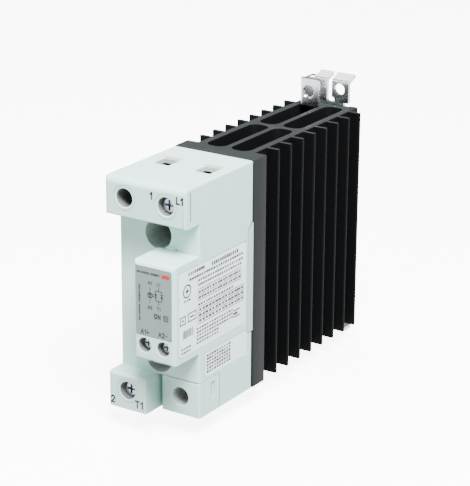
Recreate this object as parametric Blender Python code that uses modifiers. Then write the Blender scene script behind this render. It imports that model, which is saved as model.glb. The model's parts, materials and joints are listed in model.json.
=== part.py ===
"""A one-pole solid state relay on its own heat sink, with a rail clip and an earth terminal.

Frame: +X to the right seen from the front, +Y towards the rail, +Z up. The origin is at the bottom
centre of the whole relay. Places below are given from a datum: the middle plane of the heat sink in X,
the front face of its base plate in Y and its lower end in Z. place() carries them to the frame.
"""
from math import cos, pi, radians, sin

import bmesh
import bpy
from mathutils import Vector

mm = 0.001

# heat sink extrusion
width = 35.0 * mm
body_height = 89.4 * mm
plate_thickness = 8.4 * mm
fin_count = 8
fin_pitch = 8.62 * mm
fin_thickness = 1.4 * mm
fin_length = 5.0 * mm
core_tail = 7.04 * mm
core_wall = 3.0 * mm
rib_thickness = 2.4 * mm
slot_front = 7.5 * mm
bridge_place = 35.2 * mm
bridge_thickness = 2.6 * mm
slot_radius = 3.4 * mm
rear_wall = 3.2 * mm
channel_depth = 1.8 * mm

# housing
gap = 0.3 * mm
wall = 1.8 * mm
side_inset = 0.18 * mm
rear_gap = 0.7 * mm
face_depth = 35.4 * mm
top_block_proud = 8.7 * mm
top_block_height = 14.5 * mm
low_block_proud = 8.0 * mm
low_block_height = 14.0 * mm
low_block_gap = 1.3 * mm
low_block_right = -1.1 * mm
block_root = 5.4 * mm
cover_reach = 13.1 * mm
snap_window = ((7.7 * mm, 5.6 * mm), (10.7 * mm, 9.85 * mm))
partition = 1.8 * mm
centre_wall = 2.0 * mm
pole_pitch = 17.8 * mm
edge_radius = 0.8 * mm

# power terminals, measured from the end face of their block
terminal_inset = 7.3 * mm
load_inset = 7.8 * mm
blank_radius = 3.45 * mm
blank_lift = 0.3 * mm
head_radius = 3.1 * mm
head_length = 2.6 * mm
head_recess = 2.5 * mm
power_thread_radius = 2.45 * mm
power_pitch = 0.8 * mm
power_turns = 5
cage_width = 8.4 * mm
cage_height = 8.0 * mm
cage_front_wall = 1.8 * mm
cage_rear_wall = 1.3 * mm
entry_width = 7.4 * mm
entry_length = 8.4 * mm
entry_centre = 18.0 * mm
tongue_thickness = 1.2 * mm
tongue_front = 20.2 * mm
tongue_clear = 0.5 * mm
tongue_over = 0.7 * mm
cage_side_wall = 1.1 * mm
busbar_width = 3.6 * mm
busbar_shift = 0.5 * mm
busbar_pad = 5.0 * mm
busbar_inset = 2.0 * mm

# control block
control_proud = 15.5 * mm
control_low = 25.7 * mm
control_drop = 11.9 * mm
control_left = -0.5 * mm
control_wall = 1.4 * mm
control_radius = 1.6 * mm
control_screw_height = 31.6 * mm
control_screw_places = (4.38 * mm, 12.39 * mm)
control_hole_radius = 2.65 * mm
control_head_radius = 2.3 * mm
control_head_length = 1.4 * mm
control_thread_radius = 1.45 * mm
control_pitch = 0.5 * mm
control_turns = 4
control_recess = 2.5 * mm
control_shoulder = 1.0 * mm
control_bite = 2.4 * mm
control_cage_half = (2.9 * mm, 2.6 * mm)
control_cage_walls = (1.0 * mm, 0.8 * mm)
control_window_half = 2.0 * mm
contact_half = (1.5 * mm, 2.4 * mm)
contact_thickness = 0.6 * mm
control_entry = (4.4 * mm, 4.2 * mm, 8.8 * mm)
label_left = 0.7 * mm
label_right = 15.8 * mm
label_above = 9.6 * mm
label_below = 2.0 * mm
label_thickness = 0.6 * mm
lamp_place = (13.43 * mm, 43.3 * mm)
lamp_size = (1.9 * mm, 2.2 * mm)
led_half = (0.8 * mm, 1.0 * mm)
led_height = 1.2 * mm
lamp_recess = 0.1 * mm

# stickers on the right side
sticker = 0.12 * mm
rating_label_ends = (2.9 * mm, 5.0 * mm)
rating_label_heights = (2.3 * mm, 3.2 * mm)
notes_label_ends = (3.8 * mm, 3.75 * mm)
notes_label_heights = (15.0 * mm, 24.7 * mm)

# fixing screws that hold the housing to the heat sink
pocket_radius = 5.65 * mm
pocket_floor = 1.5 * mm
boss_wall = 1.2 * mm
boss_foot = 4.0 * mm
upper_pocket_drop = 21.4 * mm
lower_pocket_height = 20.4 * mm
pocket_shift = 0.3 * mm
fixing_radius = 2.0 * mm
fixing_head_radius = 3.5 * mm
fixing_head_length = 3.0 * mm
fixing_seat = 5.0 * mm
fixing_depth = 6.0 * mm

# cross recess and edges of a screw, as shares of its own head and shank
cross_reach = 0.62
cross_half = 0.13
cross_depth = 0.6
rim_share = 0.25
point_share = 0.3

# carrier frame between the housing and the heat sink
frame_thickness = 1.8 * mm
frame_inset = 2.6 * mm
arm_low = 23.5 * mm
arm_drop = 23.5 * mm
arm_depth = 3.1 * mm
arm_chamfer = 2.2 * mm
post_radius = 1.2 * mm
post_spread = 4.0 * mm
screw_passage_radius = 3.15 * mm

# electronics
substrate_low = 31.0 * mm
substrate_high = 57.0 * mm
substrate_thickness = 1.0 * mm
chip_size = 8.6 * mm
chip_thickness = 0.4 * mm
chip_place = 5.6 * mm
substrate_margin = 1.5 * mm
gate_pin_radius = 0.4 * mm
board_thickness = 1.6 * mm
board_front = 23.3 * mm
board_low = 29.0 * mm
board_high = 59.0 * mm
board_half = 14.5 * mm
control_board_proud = 5.4 * mm
control_board_low = 37.0 * mm
tower_gap = 0.6 * mm
plug_opening = ((9.2 * mm, 38.6 * mm), (12.8 * mm, 47.4 * mm))
plug_play = 0.4 * mm
opto_size = ((-3.6 * mm, 31.5 * mm), (3.6 * mm, 40.5 * mm), 3.6 * mm)
varistor_ends = (-11.2 * mm, -7.2 * mm)
varistor_radius = 4.6 * mm
varistor_height = 50.0 * mm
capacitor_size = ((-4.0 * mm, 48.0 * mm), (8.0 * mm, 54.0 * mm), 8.6 * mm)
resistor_ends = (-5.0 * mm, 4.0 * mm)
resistor_radius = 1.6 * mm
resistor_height = 44.0 * mm
part_lift = 0.2 * mm

# rail clip with the earth terminal
sheet = 1.5 * mm
clip_half = 8.75 * mm
clip_tail = 4.2 * mm
clip_rise = 10.1 * mm
flange_length = 4.2 * mm
flange_tilt = radians(22)
flange_notch = (1.9 * mm, 8.0 * mm)
clip_slot_half = 1.1 * mm
clip_slot_foot = 0.9 * mm
clip_slot_hook = (2.3 * mm, 2.0 * mm)
clip_hole_radius = 2.35 * mm
clip_hole_place = (4.6 * mm, 6.5 * mm)
clip_notch = (2.1 * mm, 1.2 * mm)
over_head = 20.0 * mm
wing_drop = 0.5 * mm
earth_reach = 8.1 * mm
earth_width = 8.6 * mm
earth_rise = 11.3 * mm
earth_hole_radius = 2.5 * mm
earth_hole_place = (-4.75 * mm, 6.0 * mm)
rail_width = 35.0 * mm
rail_sheet = 1.0 * mm
hook_play = 0.4 * mm
hook_grip = 2.0 * mm
hook_half = 6.0 * mm
clip_screw_x = 5.2 * mm
clip_screw_drop = 15.4 * mm
small_thread_radius = 1.45 * mm
small_head_radius = 2.7 * mm
small_head_length = 1.6 * mm
pin_depth = 1.6 * mm

# sprung rail latch
latch_travel = 5.0 * mm
foot_reach = 5.6 * mm
foot_drop = 5.8 * mm
foot_slot = (2.6 * mm, 1.3 * mm)
guide_place = (5.9 * mm, 14.0 * mm)
window_half = 2.1 * mm
window_top = 20.0 * mm
spring_pin_height = 8.0 * mm
spring_radius = 1.45 * mm
spring_wire = 0.4 * mm
spring_turns = 6
spring_points = 10

# sizes that follow from those above
half = width / 2
shell_half = half - side_inset
core_half = half - fin_length
rear = plate_thickness + fin_count * fin_pitch + core_tail
channel_floor = rear - channel_depth
slot_rear = channel_floor - rear_wall
pole = pole_pitch / 2
top = body_height
top_block_low = top - top_block_height
top_block_depth = face_depth + top_block_proud
low_block_depth = face_depth + low_block_proud
control_depth = face_depth + control_proud
control_board_front = face_depth + control_board_proud
control_high = top_block_low - control_drop
label_low = control_low + label_above
label_high = control_high - label_below
cover_left = low_block_right + low_block_gap
arm_high = top - arm_drop
chip_height = (substrate_low + substrate_high) / 2
substrate_half = pole + busbar_shift + busbar_width / 2 + gap
root = -face_depth + block_root
upper_pocket = (-pocket_shift, top - upper_pocket_drop)
lower_pocket = (-pocket_shift, lower_pocket_height)
side_labels = (
    (
        "rating_label",
        (-control_depth + rating_label_ends[0], control_low + rating_label_heights[0]),
        (-rating_label_ends[1], control_high - rating_label_heights[1]),
    ),
    (
        "notes_label",
        (-face_depth + notes_label_ends[0], notes_label_heights[0]),
        (-notes_label_ends[1], notes_label_heights[1]),
    ),
)
foot_low = foot_drop + sheet
clip_front = channel_floor + gap
clip_back = clip_front + sheet
foot_rear = clip_back + foot_reach
rail_centre = body_height / 2
clip_low = rail_centre + rail_width / 2 - clip_tail
clip_screw_place = (clip_screw_x, top - clip_screw_drop)
window_rear = tongue_front - tongue_thickness - gap - power_turns * power_pitch
control_tip = control_depth - control_recess - control_head_length - gap
cage_travel = control_turns * control_pitch

parts = bpy.data.collections.new("solid_state_relay")
cutters = bpy.data.collections.new("cutters")
middle = (foot_rear - control_depth) / 2


def place(x, y, z):
    """A point given from the datum, in the relay's own frame."""
    return Vector((x, y - middle, z + foot_low))


def material(name, colour, roughness, metallic=0.0):
    made = bpy.data.materials.new(name)
    made.use_nodes = True
    shader = made.node_tree.nodes["Principled BSDF"]
    shader.inputs["Base Color"].default_value = (*colour, 1.0)
    shader.inputs["Roughness"].default_value = roughness
    shader.inputs["Metallic"].default_value = metallic
    made.diffuse_color = (*colour, 1.0)
    return made


def link(name, mesh, finish, location=(0, 0, 0)):
    """An object in the parts collection, or in the cutters collection when it has no finish."""
    made = bpy.data.objects.new(name, mesh)
    made.location = location
    if finish is None:
        cutters.objects.link(made)
        made.display_type = "WIRE"
        made.hide_render = True
    else:
        parts.objects.link(made)
        mesh.materials.clear()
        mesh.materials.append(finish)
    return made


def block(name, low, high, finish=None):
    """A box between two corners given from the datum."""
    low = Vector(low)
    high = Vector(high)
    mesh = bpy.data.meshes.new(name)
    shape = bmesh.new()
    bmesh.ops.create_cube(shape, size=1.0)
    bmesh.ops.scale(shape, vec=high - low, verts=shape.verts)
    shape.to_mesh(mesh)
    shape.free()
    return link(name, mesh, finish, place(*((low + high) / 2)))


def rod(name, start, end, radius, finish=None, sides=32):
    """A cylinder between two points given from the datum."""
    start = Vector(start)
    end = Vector(end)
    mesh = bpy.data.meshes.new(name)
    shape = bmesh.new()
    bmesh.ops.create_cone(
        shape, cap_ends=True, segments=sides, radius1=radius, radius2=radius, depth=(end - start).length
    )
    shape.to_mesh(mesh)
    shape.free()
    mesh.shade_smooth()
    mesh.set_sharp_from_angle(angle=radians(40))
    made = link(name, mesh, finish, place(*((start + end) / 2)))
    made.rotation_euler = (end - start).to_track_quat("Z", "Y").to_euler()
    return made


def outline(name, loops, thickness, location, turn=(0, 0, 0), finish=None):
    """A flat outline, with inner loops as holes, made thick and turned into a mesh."""
    curve = bpy.data.curves.new(name, "CURVE")
    curve.dimensions = "2D"
    curve.fill_mode = "BOTH"
    curve.extrude = thickness / 2
    for loop in loops:
        spline = curve.splines.new("POLY")
        spline.points.add(len(loop) - 1)
        for point, (u, v) in zip(spline.points, loop):
            point.co = (u, v, 0, 1)
        spline.use_cyclic_u = True
    drawn = bpy.data.objects.new(name + "_drawn", curve)
    bpy.context.scene.collection.objects.link(drawn)
    view = bpy.context.evaluated_depsgraph_get()
    mesh = bpy.data.meshes.new_from_object(drawn.evaluated_get(view))
    mesh.name = name
    bpy.data.objects.remove(drawn)
    bpy.data.curves.remove(curve)
    shape = bmesh.new()
    shape.from_mesh(mesh)
    bmesh.ops.remove_doubles(shape, verts=shape.verts, dist=1e-6)
    shape.to_mesh(mesh)
    shape.free()
    made = link(name, mesh, finish, location)
    made.rotation_euler = turn
    return made


def side_profile(name, points, left, right, finish=None):
    """An outline drawn in Y and Z from the datum, made thick along X from left to right."""
    centre = place((left + right) / 2, 0, 0)
    return outline(name, [points], right - left, centre, (pi / 2, 0, pi / 2), finish)


def turned(name, profile, tip, axis, finish, steps=32):
    """A solid of revolution whose (radius, height) profile runs from its top down to its foot.

    tip is the place of height 0, and axis points along growing height.
    """
    mesh = bpy.data.meshes.new(name)
    points = [(radius, 0, height) for radius, height in profile]
    edges = [(i, i + 1) for i in range(len(points) - 1)]
    mesh.from_pydata(points, edges, [])
    made = link(name, mesh, finish, place(*tip))
    made.rotation_euler = Vector(axis).to_track_quat("Z", "Y").to_euler()
    spin = made.modifiers.new("Screw", "SCREW")
    spin.steps = steps
    spin.render_steps = steps
    spin.use_merge_vertices = True
    spin.merge_threshold = 1e-6
    spin.use_smooth_shade = True
    return made


def boolean(piece, tool, operation):
    step = piece.modifiers.new(tool.name, "BOOLEAN")
    step.operation = operation
    step.solver = "EXACT"
    step.object = tool
    return piece


def cut(piece, *tools):
    for tool in tools:
        boolean(piece, tool, "DIFFERENCE")


def join(piece, *tools):
    for tool in tools:
        boolean(piece, tool, "UNION")


def rounded(piece, radius, segments=3):
    edge = piece.modifiers.new("Bevel", "BEVEL")
    edge.width = radius
    edge.segments = segments
    edge.limit_method = "ANGLE"
    return piece


def arc(centre, radius, start, end, points=6):
    """Points along an arc, angles in degrees."""
    angles = [radians(start + (end - start) * i / (points - 1)) for i in range(points)]
    return [(centre[0] + radius * cos(a), centre[1] + radius * sin(a)) for a in angles]


def rounded_loop(left, right, low, high, radius):
    """A rectangle with round corners, anticlockwise from its lower right corner."""
    corners = ((right, low, -90), (right, high, 0), (left, high, 90), (left, low, 180))
    points = []
    for x, y, turn in corners:
        centre = (x - radius if x == right else x + radius, y + radius if y == low else y - radius)
        points += arc(centre, radius, turn, turn + 90)
    return points


def core_loop():
    """The outline of the heat sink's core, with the channel that the clip lies in."""
    channel_half = clip_half + gap
    right = [(core_half, 0), (core_half, rear), (channel_half, rear), (channel_half, channel_floor)]
    return right + [(-x, y) for x, y in reversed(right)]


def make_heat_sink(finish):
    inner = core_half - core_wall
    rib = rib_thickness / 2
    bridge = slot_front + bridge_place
    rows = ((slot_front, bridge - bridge_thickness / 2), (bridge + bridge_thickness / 2, slot_rear))
    loops = [core_loop()]
    for front, back in rows:
        loops.append(rounded_loop(rib, inner, front, back, slot_radius))
        loops.append(rounded_loop(-inner, -rib, front, back, slot_radius))
    sink = outline("heat_sink", loops, body_height, place(0, 0, body_height / 2), finish=finish)
    spans = [(0, plate_thickness)]
    for i in range(fin_count):
        fin = plate_thickness + (i + 1) * fin_pitch
        spans.append((fin - fin_thickness / 2, fin + fin_thickness / 2))
    for side in (-1, 1):
        for front, back in spans:
            reach = sorted((side * (core_half - core_wall / 2), side * half))
            join(sink, block("fin", (reach[0], front, 0), (reach[1], back, body_height)))
    for x, z in (upper_pocket, lower_pocket):
        hole = rod("fixing_hole", (x, -gap, z), (x, fixing_depth + gap, z), fixing_radius + gap)
        cut(sink, hole)
    through = slot_rear - gap
    bore = small_thread_radius + gap
    for side in (-1, 1):
        for x, z in (clip_screw_place, guide_place):
            cut(sink, rod("screw_hole", (side * x, through, z), (side * x, rear, z), bore))
    pin = spring_pin_height
    bottom = clip_back - spring_pin_length() - gap
    cut(sink, rod("pin_hole", (0, bottom, pin), (0, rear, pin), small_thread_radius + gap))
    reach = spring_radius + spring_wire / 2 + gap
    low = spring_pin_height + small_thread_radius
    pocket = block(
        "spring_pocket", (-reach, clip_front + sheet / 2 - reach, low), (reach, rear, window_top + gap)
    )
    cut(sink, pocket)
    return sink


def terminal_chamber(name, side, low, high):
    """The room behind one pole's screw hole, where the wire meets its clamp."""
    outer = shell_half - wall
    ends = sorted((side * centre_wall / 2, side * outer))
    return block(name, (ends[0], root, low), (ends[1], gap, high))


def make_housing(finish):
    low = side_inset
    lower_room = low_block_height + low
    housing = block(
        "housing", (-shell_half, -face_depth, low), (shell_half, -rear_gap, top), finish
    )
    brow = block(
        "brow", (-shell_half, -top_block_depth, top_block_low), (shell_half, root, top)
    )
    rounded(brow, edge_radius)
    low_block = block(
        "low_block", (-shell_half, -low_block_depth, low), (low_block_right, root, lower_room)
    )
    rounded(low_block, edge_radius)
    join(housing, brow, low_block)

    room_low = lower_room + partition
    room_high = top_block_low - partition / 2
    room = shell_half - wall
    cut(
        housing,
        block("room", (-room, -face_depth + wall, room_low), (room, gap, room_high)),
        block("rear_rim", (-room, -arm_depth - 2 * gap, low + wall), (room, gap, top - wall)),
    )
    for side in (-1, 1):
        cut(housing, terminal_chamber("upper_chamber", side, room_high + partition, top - wall))
        cut(housing, terminal_chamber("lower_chamber", side, low + wall, lower_room))

    boss_back = -frame_thickness - boss_foot
    for x, z in (upper_pocket, lower_pocket):
        radius = pocket_radius + boss_wall
        join(housing, rod("boss", (x, -face_depth + wall / 2, z), (x, boss_back, z), radius))
    cover_box = block(
        "cover_room",
        (cover_left - gap, -face_depth - gap, -gap),
        (half, -face_depth + cover_reach + gap, lower_room),
    )
    parting = block(
        "parting", (low_block_right, -face_depth - gap, -gap), (cover_left, root + gap, lower_room)
    )
    cut(housing, cover_box, parting)
    seat = -fixing_seat - gap - pocket_floor
    for x, z in (upper_pocket, lower_pocket):
        cut(housing, rod("pocket", (x, -top_block_depth, z), (x, seat, z), pocket_radius))
        cut(housing, rod("pocket_hole", (x, seat - gap, z), (x, gap, z), fixing_radius + gap))

    screw_z = top - terminal_inset
    mouth = -top_block_depth - gap
    cut(housing, rod("blank_hole", (-pole, mouth, screw_z), (-pole, root + wall, screw_z), blank_radius))
    stations = ((pole, screw_z, top_block_depth), (-pole, load_inset + low, low_block_depth))
    for x, z, depth in stations:
        seat = depth - head_recess - head_length - gap
        cut(housing, rod("head_bore", (x, -depth - gap, z), (x, -seat, z), head_radius + gap))
        bore = power_thread_radius + gap
        cut(housing, rod("shank_bore", (x, -depth - gap, z), (x, root + wall, z), bore))

    for x in (-pole, pole):
        across = entry_width / 2
        along = entry_length / 2
        front = -entry_centre - along
        back = -entry_centre + along
        sill = top - wall - gap
        cut(
            housing,
            block("upper_entry", (x - across, front, sill), (x + across, back, top + gap)),
            block("lower_entry", (x - across, front, -gap), (x + across, back, low + wall + gap)),
        )

    slit = busbar_width / 2 + gap
    run = pole + busbar_shift
    front = -tongue_front - gap
    back = -tongue_front + tongue_thickness + gap
    upper_floor = room_high + partition + gap
    lower_ceiling = lower_room - gap
    plug_low, plug_high = plug_opening
    cut(
        housing,
        block("line_slit", (run - slit, front, room_high - gap), (run + slit, back, upper_floor)),
        block("load_slit", (-run - slit, front, lower_ceiling), (-run + slit, back, room_low + gap)),
        block(
            "plug_opening",
            (plug_low[0], -face_depth - gap, plug_low[1]),
            (plug_high[0], root, plug_high[1]),
        ),
    )
    cut(housing, *label_seats())
    for side in (-1, 1):
        name = "arm_opening"
        reach = sorted((side * (room - gap), side * (half + gap)))
        cut(housing, side_profile(name, arm_points(gap), *reach))
    return housing


def arm_points(grow):
    """The side view of a carrier arm, made larger all round by grow."""
    front = -gap - arm_depth - grow
    back = -gap + grow
    low = arm_low - grow
    high = arm_high + grow
    return [
        (front, low),
        (back, low),
        (back, high),
        (back - arm_depth + arm_chamfer - grow, high),
        (front, high - arm_chamfer),
    ]


def make_carrier(finish):
    """The moulded frame that carries the boards and snaps into the housing's sides."""
    inner = shell_half - wall - gap
    back = -gap - arm_depth + frame_thickness
    front = -gap - arm_depth
    frame = block(
        "carrier_frame", (-inner, front, frame_inset), (inner, back, top - frame_inset), finish
    )
    for side in (-1, 1):
        reach = sorted((side * (inner - gap), side * half))
        join(frame, side_profile("arm", arm_points(0), *reach))
        for z in (chip_height - post_spread, chip_height + post_spread):
            x = side * (board_half - post_radius)
            post_end = -board_front + board_thickness + gap
            join(frame, rod("post", (x, back - gap, z), (x, post_end, z), post_radius, sides=16))
    opening = substrate_half + gap
    cut(
        frame,
        block(
            "window",
            (-opening, front - gap, substrate_low - substrate_margin),
            (opening, back + gap, substrate_high + substrate_margin),
        ),
    )
    for x, z in (upper_pocket, lower_pocket):
        start = (x, front - gap, z)
        cut(frame, rod("screw_passage", start, (x, back + gap, z), screw_passage_radius))
    return frame


def make_terminal_cover(finish):
    """The snap-on cover of the unused lower pole."""
    low = side_inset
    high = low_block_height + low - gap
    back = -face_depth + cover_reach
    skin = control_wall
    cover = block(
        "blank_terminal_cover", (cover_left, -face_depth, low), (shell_half, back, high), finish
    )
    hole_z = low + terminal_inset - blank_lift
    hole_end = (pole, -face_depth + 2 * skin, hole_z)
    snap_low, snap_high = snap_window
    cut(
        cover,
        block(
            "cover_inside",
            (cover_left + skin, -face_depth + skin, low + skin),
            (shell_half - skin, back + gap, high - skin),
        ),
        rod("cover_hole", (pole, -face_depth - gap, hole_z), hole_end, blank_radius),
        block(
            "snap_window",
            (shell_half - 2 * skin, -face_depth + snap_low[0], snap_low[1]),
            (half, -face_depth + snap_high[0], snap_high[1]),
        ),
    )
    return cover


def make_control_cover(finish):
    front = -control_depth
    back = -face_depth - gap
    spare = 2 * control_radius
    cover = block(
        "control_cover",
        (control_left, front, control_low),
        (shell_half, back + spare, control_high),
        finish,
    )
    rounded(cover, control_radius)
    trim = block(
        "back_trim",
        (control_left - gap, back, control_low - gap),
        (half, back + 2 * spare, control_high + gap),
    )
    left = control_left + control_wall
    right = shell_half - control_wall
    floor = control_low + control_wall
    ceiling = control_high - control_wall
    shoulder = -control_tip + control_shoulder
    tower = control_board_low - tower_gap
    cut(
        cover,
        trim,
        block("board_room", (left, front + control_wall, tower), (right, half, ceiling)),
        block("clamp_room", (left, shoulder, floor), (right, half, tower + gap)),
        block(
            "label_recess",
            (label_left - gap, front - gap, label_low - gap),
            (label_right + gap, front + label_thickness + gap, label_high + gap),
        ),
    )
    x, z = lamp_place
    across = lamp_size[0] / 2 + gap
    along = lamp_size[1] / 2 + gap
    behind = front + 2 * control_wall
    lamp_opening = block(
        "lamp_opening", (x - across, front - gap, z - along), (x + across, behind, z + along)
    )
    cut(cover, lamp_opening)
    cut(cover, *label_seats())
    z = control_screw_height
    entry_across, entry_front, entry_back = control_entry
    across = entry_across / 2
    for x in control_screw_places:
        cut(
            cover,
            rod("driver_hole", (x, front - gap, z), (x, -control_tip, z), control_hole_radius),
            rod("neck", (x, front - gap, z), (x, shoulder + gap, z), control_thread_radius + gap),
            block(
                "control_entry",
                (x - across, -control_tip + entry_front, control_low - gap),
                (x + across, -control_tip + entry_back, floor + gap),
            ),
        )
    return cover


def make_control_face(label_finish, lamp_finish, led_finish):
    front = -control_depth
    label = block(
        "front_label",
        (label_left, front, label_low),
        (label_right, front + label_thickness, label_high),
        label_finish,
    )
    x, z = lamp_place
    across = lamp_size[0] / 2
    along = lamp_size[1] / 2
    opening = block(
        "label_opening",
        (x - across - gap, front - gap, z - along - gap),
        (x + across + gap, front + label_thickness + gap, z + along + gap),
    )
    cut(label, opening)
    led_front = -control_board_front - gap - led_height
    block(
        "lamp_window",
        (x - across, front + lamp_recess, z - along),
        (x + across, led_front - gap, z + along),
        lamp_finish,
    )
    block(
        "status_led",
        (x - led_half[0], led_front, z - led_half[1]),
        (x + led_half[0], led_front + led_height, z + led_half[1]),
        led_finish,
    )


def driven_screw(name, head, length, radius, head_radius, head_length, finish):
    """A cross-recess terminal screw, its origin on its axis at the face of its head."""
    rim = head_length * rim_share
    point = radius * point_share
    profile = [
        (0, 0),
        (head_radius - rim, 0),
        (head_radius, -rim),
        (head_radius, -head_length),
        (radius, -head_length),
        (radius, -length + point),
        (radius - point, -length),
        (0, -length),
    ]
    screw = turned(name, profile, head, (0, -1, 0), finish)
    x, y, z = head
    arm = head_radius * cross_reach
    thin = head_radius * cross_half
    depth = head_length * cross_depth
    cut(
        screw,
        block(name + "_cross_a", (x - arm, y - gap, z - thin), (x + arm, y + depth, z + thin)),
        block(name + "_cross_b", (x - thin, y - gap, z - arm), (x + thin, y + depth, z + arm)),
    )
    return screw


def clamp_cage(name, centre, outer, window, bore, finish):
    """A rising cage: a square ring that the wire enters along Z and the screw along Y.

    outer and window are (low y, high y) with the half width and half height of the ring.
    """
    x, z = centre
    (front, back), across, along = outer
    (window_front, window_back), window_across = window
    cage = block(name, (x - across, front, z - along), (x + across, back, z + along), finish)
    cut(
        cage,
        block(
            name + "_window",
            (x - window_across, window_front, z - along - gap),
            (x + window_across, window_back, z + along + gap),
        ),
        rod(name + "_thread", (x, front - gap, z), (x, window_front + gap, z), bore),
    )
    return cage


def make_power_terminals(screw_finish, cage_finish, copper):
    low = side_inset
    stations = (
        ("line", 1, pole, top - terminal_inset, top_block_depth),
        ("load", -1, -pole, low + load_inset, low_block_depth),
    )
    window_front = tongue_front + tongue_clear
    for name, way, x, z, depth in stations:
        head = -depth + head_recess
        length = -head - tongue_front - gap
        driven_screw(
            name + "_clamp_screw",
            (x, head, z),
            length,
            power_thread_radius,
            head_radius,
            head_length,
            screw_finish,
        )
        clamp_cage(
            name + "_clamp_cage",
            (x, z),
            (
                (-window_front - cage_front_wall, -window_rear + cage_rear_wall),
                cage_width / 2,
                cage_height / 2,
            ),
            ((-window_front, -window_rear), cage_width / 2 - cage_side_wall),
            power_thread_radius + gap,
            cage_finish,
        )
        run = x + way * busbar_shift
        tip = z + way * (cage_height / 2 + tongue_over)
        leg = substrate_high - busbar_inset if way > 0 else substrate_low + busbar_inset
        strip = busbar_width / 2
        ends = sorted((leg, tip))
        busbar = block(
            name + "_busbar",
            (run - strip, -tongue_front, ends[0]),
            (run + strip, -tongue_front + tongue_thickness, ends[1]),
            copper,
        )
        shelf = sorted((leg, leg + way * tongue_thickness))
        foot = sorted((leg + way * tongue_thickness, leg - way * busbar_pad))
        pad = -gap - substrate_thickness - gap
        reach = (run - strip, run + strip)
        join(
            busbar,
            block(name + "_shelf", (reach[0], -tongue_front, shelf[0]), (reach[1], pad, shelf[1])),
            block(name + "_pad", (reach[0], pad - tongue_thickness, foot[0]), (reach[1], pad, foot[1])),
        )


def make_control_terminals(screw_finish, cage_finish, brass):
    z = control_screw_height
    head = -control_depth + control_recess
    seat = -control_tip + control_shoulder
    tip = seat + gap + cage_travel + control_bite
    for name, x in zip(("a1", "a2"), control_screw_places):
        driven_screw(
            name + "_screw",
            (x, head, z),
            tip - head,
            control_thread_radius,
            control_head_radius,
            control_head_length,
            screw_finish,
        )
        front = seat + gap + cage_travel
        window_front = front + control_cage_walls[0]
        tongue = tip + gap
        window_back = tongue + contact_thickness + gap + cage_travel
        clamp_cage(
            name + "_cage",
            (x, z),
            ((front, window_back + control_cage_walls[1]), *control_cage_half),
            ((window_front, window_back), control_window_half),
            control_thread_radius + gap,
            cage_finish,
        )
        block(
            name + "_contact",
            (x - contact_half[0], tongue, z - contact_half[1]),
            (x + contact_half[0], tongue + contact_thickness, control_board_low - gap),
            brass,
        )


def make_electronics(ceramic, silicon, board, black, blue, tan, pin_finish):
    front = -gap - substrate_thickness
    block(
        "ceramic_substrate",
        (-substrate_half, front, substrate_low),
        (substrate_half, -gap, substrate_high),
        ceramic,
    )
    chip_front = front - gap - chip_thickness
    chip = chip_size / 2
    for name, x in (("thyristor_chip_a", -chip_place), ("thyristor_chip_b", chip_place)):
        corner = (x + chip, front - gap, chip_height + chip)
        block(name, (x - chip, chip_front, chip_height - chip), corner, silicon)
    pin_start = -board_front + board_thickness + gap
    for name, x in (("gate_pin_a", -chip_place), ("gate_pin_b", chip_place)):
        pin_end = (x, chip_front - gap, chip_height)
        rod(name, (x, pin_start, chip_height), pin_end, gate_pin_radius, pin_finish, 12)
    block(
        "power_board",
        (-board_half, -board_front, board_low),
        (board_half, -board_front + board_thickness, board_high),
        board,
    )
    face = -board_front - gap
    low, high, proud = opto_size
    block("opto_driver", (low[0], face - proud, low[1]), (high[0], face, high[1]), black)
    y = face - varistor_radius
    z = varistor_height
    left, right = varistor_ends
    rod("varistor", (left, y, z), (right, y, z), varistor_radius, blue, 40)
    low, high, proud = capacitor_size
    capacitor = block(
        "snubber_capacitor", (low[0], face - proud, low[1]), (high[0], face, high[1]), tan
    )
    rounded(capacitor, gap, 2)
    y = face - resistor_radius - part_lift
    z = resistor_height
    left, right = resistor_ends
    rod("snubber_resistor", (left, y, z), (right, y, z), resistor_radius, tan, 24)
    plug_front = -control_board_front + board_thickness + gap
    low, high = plug_opening
    block(
        "board_plug",
        (low[0] + plug_play, plug_front, low[1] + plug_play),
        (high[0] - plug_play, face, high[1] - plug_play),
        black,
    )
    left = control_left + control_wall + gap
    right = shell_half - control_wall - gap
    block(
        "control_board",
        (left, -control_board_front, control_board_low),
        (right, -control_board_front + board_thickness, control_high - control_wall - gap),
        board,
    )


def make_fixing_screws(finish):
    for name, (x, z) in (("upper_fixing_screw", upper_pocket), ("lower_fixing_screw", lower_pocket)):
        seat = -fixing_seat - gap - pocket_floor
        head = seat - gap - fixing_head_length
        driven_screw(
            name,
            (x, head, z),
            fixing_depth - head,
            fixing_radius,
            fixing_head_radius,
            fixing_head_length,
            finish,
        )


def hook(name, edge, way):
    """Two boxes of a rail hook round the rail's edge, at height edge; way is +1 at its upper edge."""
    lip = clip_back + hook_play + rail_sheet + hook_play
    web = sorted((edge + way * gap, edge + way * (gap + sheet)))
    grip = sorted((edge - way * hook_grip, edge + way * (gap + sheet)))
    return (
        block(name + "_web", (-hook_half, clip_front + gap, web[0]), (hook_half, lip + sheet, web[1])),
        block(name + "_lip", (-hook_half, lip, grip[0]), (hook_half, lip + sheet, grip[1])),
    )


def flange_points():
    """The side view of the clip's plate and of the flange bent back from its head."""
    lift = Vector((cos(flange_tilt), sin(flange_tilt)))
    across = Vector((-lift.y, lift.x))
    bend = top + clip_rise
    start = Vector((clip_front, bend))
    end = start + lift * (sheet + flange_length)
    inner_end = end - across * sheet
    inner = Vector((clip_back, 0))
    inner.y = inner_end.y - (inner_end.x - clip_back) * sin(flange_tilt) / cos(flange_tilt)
    plate = [(clip_front, clip_low), (clip_back, clip_low)]
    return plate + [tuple(point) for point in (inner, inner_end, end, start)]


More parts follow.
